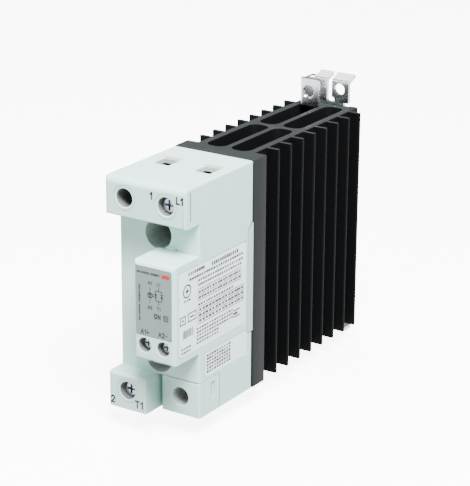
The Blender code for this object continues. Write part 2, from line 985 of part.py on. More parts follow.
def make_rail_clip(finish):
    clip = side_profile("rail_clip", flange_points(), -clip_half, clip_half, finish)
    low = top + gap
    terminal = channel_floor - earth_reach
    crown = top + earth_rise
    wing = block(
        "wing", (-clip_half, terminal, low), (-clip_half + sheet, clip_back, crown - wing_drop)
    )
    head = block(
        "terminal", (-clip_half, terminal, low), (-clip_half + earth_width, terminal + sheet, crown)
    )
    join(clip, wing, head, *hook("hook", rail_centre + rail_width / 2, 1))
    x, z = earth_hole_place
    z += top
    front = terminal - gap
    back = terminal + sheet + gap
    cut(clip, rod("earth_hole", (x, front, z), (x, back, z), earth_hole_radius))
    x, z = clip_hole_place
    z += top
    front = clip_front - gap
    back = clip_back + gap
    cut(clip, rod("clip_eye", (x, front, z), (x, back, z), clip_hole_radius))
    foot = top + clip_slot_foot
    hook_x, hook_z = clip_slot_hook
    back = clip_back + flange_length + sheet
    over = top + over_head
    cut(
        clip,
        block("slot", (-clip_slot_half, front, foot), (clip_slot_half, back, over)),
        block("slot_hook", (0, front, foot), (hook_x, clip_back + gap, foot + hook_z)),
        block(
            "shoulder",
            (clip_half - clip_notch[0], clip_front - gap, top - gap),
            (clip_half + gap, clip_back + gap, top + clip_notch[1]),
        ),
    )
    cut(
        clip,
        block(
            "flange_corner",
            (-clip_half - gap, clip_back, top + flange_notch[1]),
            (-clip_half + flange_notch[0], back, over),
        ),
    )
    for side in (-1, 1):
        x, z = clip_screw_place
        start = (side * x, clip_front - gap, z)
        end = (side * x, clip_back + gap, z)
        cut(clip, rod("clip_screw_hole", start, end, small_thread_radius + gap))
    return clip


def spring_pin_length():
    """How far the pin's shank reaches forward from the clip's rear face."""
    return clip_back + gap - channel_floor + pin_depth


def small_screw(name, x, z, depth, finish):
    """A pan head screw whose head sits on the clip's rear face."""
    seat = clip_back + gap
    profile = [
        (0, small_head_length),
        (small_head_radius * cross_reach, small_head_length),
        (small_head_radius, small_head_length / 2),
        (small_head_radius, 0),
        (small_thread_radius, 0),
        (small_thread_radius, -depth),
        (0, -depth),
    ]
    return turned(name, profile, (x, seat, z), (0, 1, 0), finish, 24)


def make_rail_latch(finish):
    low = -foot_low
    edge = rail_centre - rail_width / 2
    latch = block(
        "rail_latch", (-clip_half, clip_front, low), (clip_half, clip_back, edge - gap), finish
    )
    tab = block("tab", (-clip_half, clip_front + gap, low), (clip_half, foot_rear, low + sheet))
    join(latch, tab, *hook("latch_hook", edge, -1))
    x, z = guide_place
    clear = small_thread_radius + gap
    for side in (-1, 1):
        cut(
            latch,
            block(
                "guide_slot",
                (side * x - clear, clip_front - gap, z - clear),
                (side * x + clear, clip_back + gap, z + clear + latch_travel),
            ),
        )
    back = clip_back + gap
    foot = spring_pin_height - clear
    slot_x, slot_y = foot_slot
    slot_middle = clip_back + foot_reach / 2
    cut(
        latch,
        block("spring_window", (-window_half, clip_front - gap, foot), (window_half, back, window_top)),
        block(
            "tab_slot",
            (-slot_x, slot_middle - slot_y, low - gap),
            (slot_x, slot_middle + slot_y, low + sheet + gap),
        ),
    )
    return latch


def make_latch_spring(finish):
    """A compression spring between the pin and the top of the latch's window."""
    low = spring_pin_height + small_head_radius + gap + spring_wire
    high = window_top - gap - spring_wire
    steps = spring_turns * spring_points
    curve = bpy.data.curves.new("latch_spring", "CURVE")
    curve.dimensions = "3D"
    curve.bevel_depth = spring_wire / 2
    curve.bevel_resolution = 1
    curve.use_fill_caps = True
    spline = curve.splines.new("POLY")
    spline.points.add(steps)
    for i, point in enumerate(spline.points):
        turn = 2 * pi * spring_turns * i / steps
        height = low + (high - low) * i / steps
        point.co = (spring_radius * cos(turn), spring_radius * sin(turn), height, 1)
    made = bpy.data.objects.new("latch_spring", curve)
    made.location = place(0, clip_front + sheet / 2, 0)
    curve.materials.append(finish)
    parts.objects.link(made)
    return made


def label_seats():
    """Cutters for the shallow seats that keep the stickers flush with the right side."""
    seats = []
    for name, low, high in side_labels:
        depth = shell_half - sticker - gap
        corner = (half, high[0] + gap, high[1] + gap)
        seats.append(block(name + "_seat", (depth, low[0] - gap, low[1] - gap), corner))
    return seats


def make_side_labels(finish):
    for name, low, high in side_labels:
        block(name, (shell_half - sticker, *low), (shell_half, *high), finish)


def build():
    for old in list(bpy.data.objects):
        bpy.data.objects.remove(old)
    bpy.context.scene.collection.children.link(parts)
    bpy.context.scene.collection.children.link(cutters)

    plastic = material("light grey plastic", (0.66, 0.72, 0.71), 0.45)
    pale_plastic = material("pale grey plastic", (0.70, 0.75, 0.74), 0.45)
    label_grey = material("grey label", (0.46, 0.52, 0.51), 0.5)
    anodised = material("black anodised aluminium", (0.02, 0.02, 0.022), 0.42, 0.6)
    zinc = material("zinc plated steel", (0.62, 0.66, 0.66), 0.28, 1.0)
    steel = material("nickel plated steel", (0.60, 0.61, 0.62), 0.3, 1.0)
    copper = material("tinned copper", (0.72, 0.62, 0.52), 0.35, 1.0)
    brass = material("brass", (0.75, 0.62, 0.32), 0.35, 1.0)
    ceramic = material("white ceramic", (0.85, 0.85, 0.82), 0.5)
    silicon = material("silicon", (0.25, 0.26, 0.30), 0.2, 0.5)
    board = material("green circuit board", (0.05, 0.25, 0.12), 0.5)
    black = material("black moulding", (0.03, 0.03, 0.03), 0.5)
    blue = material("blue epoxy", (0.10, 0.20, 0.55), 0.4)
    tan = material("tan moulding", (0.65, 0.52, 0.35), 0.5)
    paper = material("white sticker", (0.86, 0.88, 0.88), 0.4)
    clear = material("clear lamp window", (0.16, 0.18, 0.17), 0.15)
    lamp = material("green lamp", (0.55, 0.80, 0.50), 0.3)

    make_heat_sink(anodised)
    make_carrier(plastic)
    make_housing(plastic)
    make_terminal_cover(plastic)
    make_control_cover(pale_plastic)
    make_control_face(label_grey, clear, lamp)
    make_power_terminals(steel, zinc, copper)
    make_control_terminals(steel, zinc, brass)
    make_electronics(ceramic, silicon, board, black, blue, tan, steel)
    make_fixing_screws(steel)
    make_rail_clip(zinc)
    for name, side in (("clip_screw_left", -1), ("clip_screw_right", 1)):
        x, z = clip_screw_place
        small_screw(name, side * x, z, clip_back + gap - slot_rear, steel)
    make_rail_latch(zinc)
    for name, side in (("guide_screw_left", -1), ("guide_screw_right", 1)):
        x, z = guide_place
        small_screw(name, side * x, z, clip_back + gap - slot_rear, steel)
    small_screw("spring_pin", 0, spring_pin_height, spring_pin_length(), steel)
    make_latch_spring(steel)
    make_side_labels(paper)


build()
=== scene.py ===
import json
from math import cos, pi, radians, sin

import bmesh
import bpy
from mathutils import Matrix, Vector


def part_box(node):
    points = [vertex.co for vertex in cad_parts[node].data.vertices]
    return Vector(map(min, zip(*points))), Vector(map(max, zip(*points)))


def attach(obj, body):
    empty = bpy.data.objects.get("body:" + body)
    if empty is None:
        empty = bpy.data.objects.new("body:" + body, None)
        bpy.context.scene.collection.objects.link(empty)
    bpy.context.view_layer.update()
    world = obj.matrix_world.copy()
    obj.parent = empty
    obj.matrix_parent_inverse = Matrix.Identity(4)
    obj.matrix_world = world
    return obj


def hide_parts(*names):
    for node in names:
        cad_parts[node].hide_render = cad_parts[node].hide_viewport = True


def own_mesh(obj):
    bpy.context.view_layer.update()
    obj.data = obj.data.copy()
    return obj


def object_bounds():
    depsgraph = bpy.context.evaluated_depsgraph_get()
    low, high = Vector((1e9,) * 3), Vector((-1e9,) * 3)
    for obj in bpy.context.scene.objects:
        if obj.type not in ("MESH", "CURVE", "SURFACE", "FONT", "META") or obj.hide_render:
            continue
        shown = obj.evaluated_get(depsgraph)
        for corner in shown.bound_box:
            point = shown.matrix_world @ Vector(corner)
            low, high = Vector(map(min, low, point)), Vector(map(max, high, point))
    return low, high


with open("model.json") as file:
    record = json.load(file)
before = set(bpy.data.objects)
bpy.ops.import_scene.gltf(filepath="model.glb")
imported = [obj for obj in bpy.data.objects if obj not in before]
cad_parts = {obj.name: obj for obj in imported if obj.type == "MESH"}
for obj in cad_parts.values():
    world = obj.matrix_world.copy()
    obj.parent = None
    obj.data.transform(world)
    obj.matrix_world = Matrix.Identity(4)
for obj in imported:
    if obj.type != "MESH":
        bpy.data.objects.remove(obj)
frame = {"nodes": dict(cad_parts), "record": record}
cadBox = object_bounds()
nodes = frame["nodes"]
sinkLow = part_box("heat_sink")[0]
mm = 0.001


def at(x, y, z):  # millimetres from the base plate's front face and the heat sink's lower end
    return Vector((x * mm, sinkLow.y + y * mm, sinkLow.z + z * mm))


def camel(name):  # a CAD node's name as the name of the piece that stands for it
    first, *others = name.split("_")
    return first + "".join(word.title() for word in others)


# places that several pieces share
pole = 8.9  # the two poles lie this far left and right of the middle
fixing = {"x": -0.3, "heights": (68.0, 20.4), "head": -10.1}  # screws through the housing into the base plate
rearSpots = {"clip": (5.2, 74.0), "guide": (5.9, 14.0), "pin": (0.0, 8.0)}  # (x, z) behind the heat sink


# materials: every pattern is read from Object coordinates


class Field:  # a number or a colour on its way through a material's nodes
    def __init__(self, tree, socket):
        self.tree = tree
        self.socket = socket

    def node(self, kind, inputs, output=0, **settings):
        made = self.tree.nodes.new("ShaderNode" + kind)
        for key, value in settings.items():
            setattr(made, key, value)
        for key, value in inputs.items():
            if isinstance(value, Field):
                self.tree.links.new(value.socket, made.inputs[key])
            else:
                made.inputs[key].default_value = value
        return Field(self.tree, made.outputs[output])

    def maths(self, operation, first, second=0.0):
        return self.node("Math", {0: first, 1: second}, operation=operation)

    def __add__(self, other):
        return self.maths("ADD", self, other)

    def __radd__(self, other):
        return self.maths("ADD", other, self)

    def __sub__(self, other):
        return self.maths("SUBTRACT", self, other)

    def __rsub__(self, other):
        return self.maths("SUBTRACT", other, self)

    def __mul__(self, other):
        return self.maths("MULTIPLY", self, other)

    def __rmul__(self, other):
        return self.maths("MULTIPLY", other, self)


class Finish:  # one material: its fixed sockets, and the fields that vary over the piece
    def __init__(self, name, colour, roughness, **fixed):
        self.material = bpy.data.materials.new(name)
        self.material.use_nodes = True
        self.tree = self.material.node_tree
        self.shader = self.tree.nodes["Principled BSDF"]
        self.colour = (*colour, 1.0)
        self.shader.inputs["Base Color"].default_value = self.colour
        self.shader.inputs["Roughness"].default_value = roughness
        for key, value in fixed.items():
            self.shader.inputs[key.replace("_", " ")].default_value = value
        place = self.tree.nodes.new("ShaderNodeTexCoord")
        self.place = Field(self.tree, place.outputs["Object"])

    def stretched(self, x, y, z):
        return self.place.node("VectorMath", {0: self.place, 1: (x, y, z)}, operation="MULTIPLY")

    def noise(self, scale, detail=3.0, roughness=0.5, place=None):
        inputs = {"Vector": place or self.place, "Scale": scale, "Detail": detail, "Roughness": roughness}
        return self.place.node("TexNoise", inputs)

    def blend(self, factor, first, second):
        inputs = {"Factor": factor, 6: first, 7: second}  # 6 and 7 are the node's two colours
        return self.place.node("Mix", inputs, output=2, data_type="RGBA")

    def give(self, socket, field):
        self.tree.links.new(field.socket, self.shader.inputs[socket])

    def bump(self, height, strength, distance):
        inputs = {"Height": height, "Strength": strength, "Distance": distance}
        self.give("Normal", self.place.node("Bump", inputs))


def shade(colour, amount):
    return (*[min(1.0, channel * amount) for channel in colour[:3]], 1.0)


def mouldedPlastic(name, colour, roughness, grain=1.0):  # the mould's fine grain, faint flow marks
    made = Finish(name, colour, roughness, Specular_IOR_Level=0.45)
    flow = made.noise(60.0, 2.0, place=made.stretched(1.0, 1.0, 0.35))
    fine = made.noise(5200.0, 2.0)
    broad = made.noise(1400.0, 3.0)
    made.give("Base Color", made.blend(flow, shade(colour, 0.975), shade(colour, 1.02)))
    made.give("Roughness", roughness - 0.06 + fine * 0.1 + flow * 0.04)
    made.bump(fine * 0.6 + broad * 0.4, 0.22 * grain, 0.00004)
    return made.material


def anodisedBlack(name, colour, bloom, gloss):  # die lines along the extrusion, a slightly dusty bloom
    made = Finish(name, colour, 0.40, Specular_IOR_Level=gloss)
    lines = made.noise(1.0, 4.0, 0.65, place=made.stretched(3600.0, 3600.0, 9.0))
    cloud = made.noise(45.0, 3.0, place=made.stretched(1.0, 1.0, 0.4))
    grain = made.noise(5200.0, 2.0)
    made.give("Base Color", made.blend(cloud * 0.7 + lines * 0.3, made.colour, shade(bloom, 1.0)))
    made.give("Roughness", 0.30 + lines * 0.16 + cloud * 0.10)
    made.bump(lines * 0.7 + grain * 0.3, 0.35, 0.00005)
    return made.material


def platedSteel(name, colour, roughness, streak=(400.0, 400.0, 3200.0)):  # bright zinc or nickel, rolled
    made = Finish(name, colour, roughness, Metallic=1.0)
    rolled = made.noise(1.0, 3.0, 0.6, place=made.stretched(*streak))
    cloud = made.noise(260.0, 3.0)
    pits = made.noise(4200.0, 2.0)
    made.give("Base Color", made.blend(cloud, shade(colour, 0.93), shade(colour, 1.04)))
    made.give("Roughness", roughness - 0.05 + cloud * 0.05 + rolled * 0.05)
    made.bump(rolled * 0.8 + pits * 0.2, 0.02, 0.00001)
    return made.material


def turnedSteel(name, colour, roughness):  # screws: the machined lines follow the height only
    return platedSteel(name, colour, roughness, streak=(500.0, 5200.0, 500.0))


def whiteFilm(name):
    look = {"colour": (0.80, 0.915, 0.945), "roughness": 0.34}
    made = Finish(name, look["colour"], look["roughness"], Specular_IOR_Level=0.5)
    ripple = made.noise(70.0, 2.0)
    fine = made.noise(2600.0, 2.0)
    made.give("Base Color", made.blend(ripple, shade(look["colour"], 0.985), shade(look["colour"], 1.015)))
    made.give("Roughness", 0.28 + fine * 0.10)
    made.bump(ripple * 0.8 + fine * 0.2, 0.12, 0.00006)
    return made.material


def printedInk(name, colour):
    made = Finish(name, colour, 0.5)
    patchy = made.noise(2400.0, 3.0)
    made.give("Base Color", made.blend(patchy, shade(colour, 0.85), shade(colour, 1.25)))
    made.give("Roughness", 0.42 + patchy * 0.15)
    return made.material


def lampPlastic(name, colour):
    made = Finish(name, colour, 0.12, Coat_Weight=0.4)
    cloud = made.noise(700.0, 2.0)
    made.give("Base Color", made.blend(cloud, shade(colour, 0.8), shade(colour, 1.2)))
    made.give("Roughness", 0.08 + cloud * 0.1)
    return made.material


def circuitBoard(name):
    look = {"mask": (0.012, 0.095, 0.045), "track": (0.03, 0.19, 0.085)}
    made = Finish(name, look["mask"], 0.35, Coat_Weight=0.3)
    cells = made.place.node("TexVoronoi", {"Vector": made.place, "Scale": 420.0}, distance="MANHATTAN")
    tracks = cells.maths("GREATER_THAN", cells, 0.42)
    made.give("Base Color", made.blend(tracks, made.colour, shade(look["track"], 1.0)))
    made.give("Roughness", 0.30 + tracks * 0.12)
    made.bump(tracks, 0.2, 0.00004)
    return made.material


def castCeramic(name, colour, roughness):
    made = Finish(name, colour, roughness)
    grain = made.noise(3200.0, 3.0)
    cloud = made.noise(220.0, 2.0)
    made.give("Base Color", made.blend(cloud, shade(colour, 0.94), shade(colour, 1.04)))
    made.give("Roughness", roughness - 0.05 + grain * 0.12)
    made.bump(grain, 0.18, 0.00004)
    return made.material


paint = {
    "housing_plastic": mouldedPlastic("housing plastic", (0.505, 0.745, 0.695), 0.48),
    "control_plastic": mouldedPlastic("control plastic", (0.525, 0.760, 0.710), 0.46),
    "label_grey": mouldedPlastic("grey face plate", (0.180, 0.232, 0.226), 0.55, grain=0.6),
    "sticker_white": whiteFilm("white film"),
    "lamp_clear": lampPlastic("smoked lamp window", (0.095, 0.105, 0.102)),
    "lamp_green": lampPlastic("status lamp", (0.40, 0.68, 0.36)),
    "black_anodised": anodisedBlack(
        "black anodised core", (0.0125, 0.0143, 0.0150), (0.0255, 0.0286, 0.0298), 0.05
    ),
    "zinc_steel": platedSteel("bright zinc", (0.85, 0.885, 0.895), 0.19),
    "screw_steel": turnedSteel("nickel plated screws", (0.42, 0.46, 0.52), 0.20),
    "tinned_copper": platedSteel("tinned copper", (0.74, 0.66, 0.58), 0.32),
    "brass": platedSteel("brass", (0.78, 0.62, 0.34), 0.30),
    "ceramic_white": castCeramic("white ceramic", (0.82, 0.82, 0.79), 0.45),
    "silicon": castCeramic("silicon", (0.16, 0.17, 0.21), 0.22),
    "board_green": circuitBoard("green circuit board"),
    "moulding_black": castCeramic("black moulding", (0.022, 0.022, 0.023), 0.50),
    "epoxy_blue": castCeramic("blue epoxy", (0.045, 0.10, 0.40), 0.30),
    "moulding_tan": castCeramic("tan film", (0.55, 0.40, 0.22), 0.42),
}
darkInk = printedInk("dark print", (0.014, 0.015, 0.017))
paleInk = printedInk("pale print", (0.045, 0.048, 0.050))
redInk = printedInk("red print", (0.42, 0.006, 0.010))
# darker plastics for the walls of holes, pockets, grooves and inner rooms: painted shade, as the moulding is the same
# colour inside
holeShadePlastic = mouldedPlastic("plastic inside the holes", (0.150, 0.156, 0.152), 0.60)
pocketShadePlastic = mouldedPlastic("plastic inside the pockets", (0.400, 0.425, 0.412), 0.58)
carrierPlastic = mouldedPlastic("carrier plastic", (0.430, 0.560, 0.535), 0.50)
# the fins' darker black is painted shade between the fins; they are the same anodised aluminium as the core
finShadeBlack = anodisedBlack("black anodised fins", (0.0022, 0.0023, 0.0025), (0.0044, 0.0046, 0.005), 0.04)

slotOf = {part["node"]: part["material_slot"] for part in frame["record"]["subparts"]}
for name, node in nodes.items():
    node.data.materials.clear()
    node.data.materials.append(paint[slotOf[name]])
print("materials made and given to the CAD nodes")


# mesh tools


def newPiece(name, shape, turned=True):
    if turned:
        bmesh.ops.recalc_face_normals(shape, faces=shape.faces)
    mesh = bpy.data.meshes.new(name)
    shape.to_mesh(mesh)
    shape.free()
    made = bpy.data.objects.new(name, mesh)
    bpy.context.scene.collection.objects.link(made)
    return made


def slab(low, high, name="slab"):
    shape = bmesh.new()
    bmesh.ops.create_cube(shape, size=1.0)
    first = at(*low)
    last = at(*high)
    for vert in shape.verts:
        vert.co = [(a + b) / 2 + c * (b - a) for a, b, c in zip(first, last, vert.co)]
    return newPiece(name, shape)


def pillar(start, end, radius, endRadius=None, sides=64):
    first = at(*start)
    last = at(*end)
    shape = bmesh.new()
    bmesh.ops.create_cone(
        shape,
        cap_ends=True,
        segments=sides,
        radius1=radius * mm,
        radius2=(radius if endRadius is None else endRadius) * mm,
        depth=(last - first).length,
    )
    turn = (last - first).to_track_quat("Z", "Y").to_matrix().to_4x4()
    bmesh.ops.transform(shape, matrix=Matrix.Translation((first + last) / 2) @ turn, verts=shape.verts)
    return newPiece("pillar", shape)


def prism(points, axis, start, end, name="prism"):  # an outline in the two other axes, pushed along one
    def spot(point, along):
        if axis == "x":
            return at(along, *point)
        if axis == "y":
            return at(point[0], along, point[1])
        return at(*point, along)

    shape = bmesh.new()
    first = [shape.verts.new(spot(point, start)) for point in points]
    last = [shape.verts.new(spot(point, end)) for point in points]
    shape.faces.new(first)
    shape.faces.new(list(reversed(last)))
    for i in range(len(points)):
        j = (i + 1) % len(points)
        shape.faces.new((first[j], first[i], last[i], last[j]))
    return newPiece(name, shape)


def roundLoop(corners, steps=6):  # (u, v, radius) corners of a closed outline, each one rounded
    loop = []
    count = len(corners)
    for i, (u, v, radius) in enumerate(corners):
        here = Vector((u, v))
        before = (Vector(corners[i - 1][:2]) - here).normalized()
        after = (Vector(corners[(i + 1) % count][:2]) - here).normalized()
        if radius <= 0:
            loop.append((u, v))
            continue
        half = before.angle(after) / 2
        reach = radius / max(sin(half) / cos(half), 1e-6)
        centre = here + (before + after).normalized() * (radius / sin(half))
        start = here + before * reach - centre
        sweep = start.angle_signed(here + after * reach - centre)
        for step in range(steps + 1):
            turn = -sweep * step / steps
            loop.append(tuple(centre + Matrix.Rotation(turn, 2) @ start))
    return loop


def roundRect(left, low, right, high, radius, steps=6):
    corners = ((left, low), (right, low), (right, high), (left, high))
    return roundLoop([(*corner, radius) for corner in corners], steps)


def bake(piece, tools=()):  # the evaluated mesh becomes the piece's own, and the modifiers go
    view = bpy.context.evaluated_depsgraph_get()
    ready = piece.evaluated_get(view)
    mesh = bpy.data.meshes.new_from_object(ready, preserve_all_data_layers=True, depsgraph=view)
    piece.modifiers.clear()
    old = piece.data
    piece.data = mesh
    mesh.name = piece.name
    if old.users == 0:
        bpy.data.meshes.remove(old)
    for tool in tools:
        bpy.data.objects.remove(tool)
    return piece


def carve(piece, *tools, operation="DIFFERENCE"):
    for tool in tools:
        step = piece.modifiers.new("Boolean", "BOOLEAN")
        step.operation = operation
        step.solver = "EXACT"
        step.object = tool
    return bake(piece, tools)


def join(piece, *tools):
    return carve(piece, *tools, operation="UNION")


def soften(piece, width=0.0, segments=2):  # a small radius on every sharp edge when a width is given, and even shading
    shape = bmesh.new()
    shape.from_mesh(piece.data)
    bmesh.ops.remove_doubles(shape, verts=shape.verts, dist=2e-6)
    bmesh.ops.dissolve_limit(shape, angle_limit=radians(0.6), verts=shape.verts, edges=shape.edges)
    shape.to_mesh(piece.data)
    shape.free()
    if width > 0:
        edge = piece.modifiers.new("Bevel", "BEVEL")
        edge.width = width * mm
        edge.segments = segments
        edge.limit_method = "ANGLE"
        edge.angle_limit = radians(32)
        edge.use_clamp_overlap = False
        edge.miter_outer = "MITER_ARC"
        bake(piece)
    piece.data.shade_smooth()
    piece.data.set_sharp_from_angle(angle=radians(38))
    even = piece.modifiers.new("Weighted Normal", "WEIGHTED_NORMAL")
    even.keep_sharp = True
    even.weight = 80
    return bake(piece)


def roundBlock(low, high, name, **radii):  # a block whose edges each have their own radius
    made = slab(low, high, name)
    widest = max(radii.values())
    weights = made.data.attributes.new("bevel_weight_edge", "FLOAT", "EDGE")
    centre = (at(*low) + at(*high)) / 2
    for edge in made.data.edges:
        middle = sum((made.data.vertices[i].co for i in edge.vertices), Vector()) / 2 - centre
        x, y, z = (0 if abs(value) < 1e-6 else (1 if value > 0 else -1) for value in middle)
        if y > 0:
            key = "back"
        elif z == 0:
            key = "uprights"
        elif x == 0:
            key = "frontTop" if z > 0 else "frontLow"
        else:
            key = "sideTop" if z > 0 else "sideLow"
        weights.data[edge.index].value = radii.get(key, 0.0) / widest
    step = made.modifiers.new("Bevel", "BEVEL")
    step.width = widest * mm
    step.segments = 8
    step.limit_method = "WEIGHT"
    return bake(made)


def rimCone(x, y, z, radius, edge=0.25):  # the small chamfer round a hole in a front face
    return pillar((x, y - 0.1, z), (x, y + edge, z), radius + edge + 0.1, radius, sides=96)


def shadeHoleWalls(piece, material, holes):  # the walls of (x, z, radius, first y) holes take a darker finish as painted shade
    piece.data.materials.append(material)
    index = len(piece.data.materials) - 1
    for face in piece.data.polygons:
        centre = (face.center - at(0, 0, 0)) / mm
        for x, z, radius, start in holes:
            if centre.y > start and (centre.x - x) ** 2 + (centre.z - z) ** 2 < (radius + 0.06) ** 2:
                face.material_index = index


def shadeRoomFaces(piece, index, rooms):  # the same painted shade for the faces inside (low, high) boxes
    for face in piece.data.polygons:
        centre = (face.center - at(0, 0, 0)) / mm
        for low, high in rooms:
            if all(a < value < b for a, value, b in zip(low, centre, high)):
                face.material_index = index


def gather(name, *pieces):  # several pieces become one mesh
    shape = bmesh.new()
    for piece in pieces:
        shape.from_mesh(piece.data)
        bpy.data.objects.remove(piece)
    return newPiece(name, shape, turned=False)


def dress(piece, material, body, replaces=()):
    piece.data.materials.clear()
    piece.data.materials.append(material)
    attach(piece, body)
    if replaces:
        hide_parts(*replaces)
    return piece


# geometry node trees


class Net:  # one geometry node tree, with named inputs for its sizes
    def __init__(self, name, sizes):
        self.group = bpy.data.node_groups.new(name, "GeometryNodeTree")
        kinds = {int: "NodeSocketInt", float: "NodeSocketFloat"}
        self.sockets = {}
        for key, value in sizes.items():
            socket = self.group.interface.new_socket(key, in_out="INPUT", socket_type=kinds[type(value)])
            socket.default_value = value
            self.sockets[key] = socket.identifier
        finish = self.group.interface.new_socket("Finish", in_out="INPUT", socket_type="NodeSocketMaterial")
        self.sockets["Finish"] = finish.identifier
        self.group.interface.new_socket("Geometry", in_out="OUTPUT", socket_type="NodeSocketGeometry")
        self.start = self.group.nodes.new("NodeGroupInput")
        self.end = self.group.nodes.new("NodeGroupOutput")

    def size(self, key):
        return self.start.outputs[key]

    def add(self, kind, inputs=None, output=0, **settings):
        made = self.group.nodes.new(kind)
        for key, value in settings.items():
            setattr(made, key, value)
        for key, value in (inputs or {}).items():
            if isinstance(value, bpy.types.NodeSocket):
                self.group.links.new(value, made.inputs[key])
            else:
                made.inputs[key].default_value = value
        return made.outputs[output]

    def maths(self, operation, first, second=0.0):
        return self.add("ShaderNodeMath", {0: first, 1: second}, operation=operation)

    def finish(self, geometry):
        real = self.add("GeometryNodeRealizeInstances", {"Geometry": geometry})
        painted = self.add("GeometryNodeSetMaterial", {"Geometry": real, "Material": self.size("Finish")})
        self.group.links.new(painted, self.end.inputs["Geometry"])
        return self


def grow(name, net, material, spot=(0, 0, 0), turn=None, **sizes):  # a plain mesh from a tree
    made = bpy.data.objects.new(name, bpy.data.meshes.new(name))
    bpy.context.scene.collection.objects.link(made)
    step = made.modifiers.new("Nodes", "NODES")
    step.node_group = net.group
    step[net.sockets["Finish"]] = material
    for key, value in sizes.items():
        step[net.sockets[key]] = value
    bake(made)
    place = Matrix.Translation(at(*spot))
    if turn is not None:
        place = place @ turn
    made.data.transform(place)
    return made


def finComb():  # a row of fins along Y on each side of the core
    sizes = {"Count": 8, "Pitch": 0.0086, "Thickness": 0.0014, "Reach": 0.0056, "Height": 0.089, "Inner": 0.012}
    net = Net("fin comb", sizes)
    reach = net.size("Reach")
    thickness = net.size("Thickness")
    profile = net.add("GeometryNodeCurvePrimitiveQuadrilateral", {"Width": reach, "Height": thickness})
    rounding = {"Curve": profile, "Radius": net.maths("MULTIPLY", thickness, 0.3), "Count": 3, "Limit Radius": True}
    profile = net.add("GeometryNodeFilletCurve", rounding, mode="POLY")
    face = net.add("GeometryNodeFillCurve", {"Curve": profile}, mode="NGONS")
    pushed = {"Mesh": face, "Offset Scale": net.size("Height"), "Individual": False}
    fin = net.add("GeometryNodeExtrudeMesh", pushed)
    lid = net.add("GeometryNodeFlipFaces", {"Mesh": face})
    fin = net.add("GeometryNodeJoinGeometry", {"Geometry": fin})
    net.group.links.new(lid, fin.node.inputs["Geometry"])
    fin = net.add("GeometryNodeMergeByDistance", {"Geometry": fin, "Distance": 1e-6})
    step = net.add("ShaderNodeCombineXYZ", {"Y": net.size("Pitch")})
    row = net.add("GeometryNodeMeshLine", {"Count": net.size("Count"), "Offset": step}, mode="OFFSET")
    centre = net.maths("ADD", net.size("Inner"), net.maths("MULTIPLY", reach, 0.5))
    both = net.add("GeometryNodeJoinGeometry")
    for side in (1.0, -1.0):
        shift = net.add("ShaderNodeCombineXYZ", {"X": net.maths("MULTIPLY", centre, side)})
        moved = net.add("GeometryNodeTransform", {"Geometry": row, "Translation": shift})
        net.group.links.new(moved, both.node.inputs["Geometry"])
    placed = net.add("GeometryNodeInstanceOnPoints", {"Points": both, "Instance": fin})
    return net.finish(placed)


def coil():  # a wire wound in a helix: springs and screw threads
    sizes = {"Turns": 6.0, "Radius": 0.00145, "Rise": 0.008, "Wire": 0.0002, "Steps": 24, "Sides": 8}
    net = Net("coil", sizes)
    wire = net.add(
        "GeometryNodeCurveSpiral",
        {
            "Resolution": net.size("Steps"),
            "Rotations": net.size("Turns"),
            "Start Radius": net.size("Radius"),
            "End Radius": net.size("Radius"),
            "Height": net.size("Rise"),
        },
    )
    ring = net.add(
        "GeometryNodeCurvePrimitiveCircle", {"Resolution": net.size("Sides"), "Radius": net.size("Wire")}
    )
    tube = net.add("GeometryNodeCurveToMesh", {"Curve": wire, "Profile Curve": ring, "Fill Caps": True})
    return net.finish(tube)


def printedRows():  # rows of short bars of random length, standing for small print
    sizes = {
        "Rows": 6,
        "Words": 8,
        "Row Pitch": 0.0012,
        "Word Pitch": 0.003,
        "Height": 0.0005,
        "Depth": 0.00003,
        "Shortest": 0.5,
        "Longest": 0.92,
        "Seed": 3,
    }
    net = Net("printed rows", sizes)
    across = net.add("ShaderNodeCombineXYZ", {"X": net.size("Word Pitch")})
    down = net.add("ShaderNodeCombineXYZ", {"Y": net.maths("MULTIPLY", net.size("Row Pitch"), -1.0)})
    line = net.add("GeometryNodeMeshLine", {"Count": net.size("Words"), "Offset": across}, mode="OFFSET")
    rows = net.add("GeometryNodeMeshLine", {"Count": net.size("Rows"), "Offset": down}, mode="OFFSET")
    grid = net.add("GeometryNodeInstanceOnPoints", {"Points": rows, "Instance": line})
    grid = net.add("GeometryNodeRealizeInstances", {"Geometry": grid})
    length = net.add(
        "FunctionNodeRandomValue",
        {2: net.size("Shortest"), 3: net.size("Longest"), "Seed": net.size("Seed")},
        output=1,
        data_type="FLOAT",
    )
    extent = net.add(
        "ShaderNodeCombineXYZ",
        {
            "X": net.maths("MULTIPLY", net.size("Word Pitch"), length),
            "Y": net.size("Height"),
            "Z": net.size("Depth"),
        },
    )
    box = net.add("GeometryNodeMeshCube", {"Size": (1.0, 1.0, 1.0)})
    placed = net.add("GeometryNodeInstanceOnPoints", {"Points": grid, "Instance": box, "Scale": extent})
    return net.finish(placed)


def printedBars():  # upright bars of random width side by side
    sizes = {
        "Count": 30,
        "Pitch": 0.0004,
        "Height": 0.004,
        "Depth": 0.00003,
        "Thinnest": 0.25,
        "Widest": 0.85,
        "Seed": 5,
    }
    net = Net("printed bars", sizes)
    step = net.add("ShaderNodeCombineXYZ", {"X": net.size("Pitch")})
    row = net.add("GeometryNodeMeshLine", {"Count": net.size("Count"), "Offset": step}, mode="OFFSET")
    share = net.add(
        "FunctionNodeRandomValue",
        {2: net.size("Thinnest"), 3: net.size("Widest"), "Seed": net.size("Seed")},
        output=1,
        data_type="FLOAT",
    )
    width = net.maths("MULTIPLY", net.size("Pitch"), share)
    extent = net.add("ShaderNodeCombineXYZ", {"X": width, "Y": net.size("Height"), "Z": net.size("Depth")})
    box = net.add("GeometryNodeMeshCube", {"Size": (1.0, 1.0, 1.0)})
    placed = net.add("GeometryNodeInstanceOnPoints", {"Points": row, "Instance": box, "Scale": extent})
    return net.finish(placed)


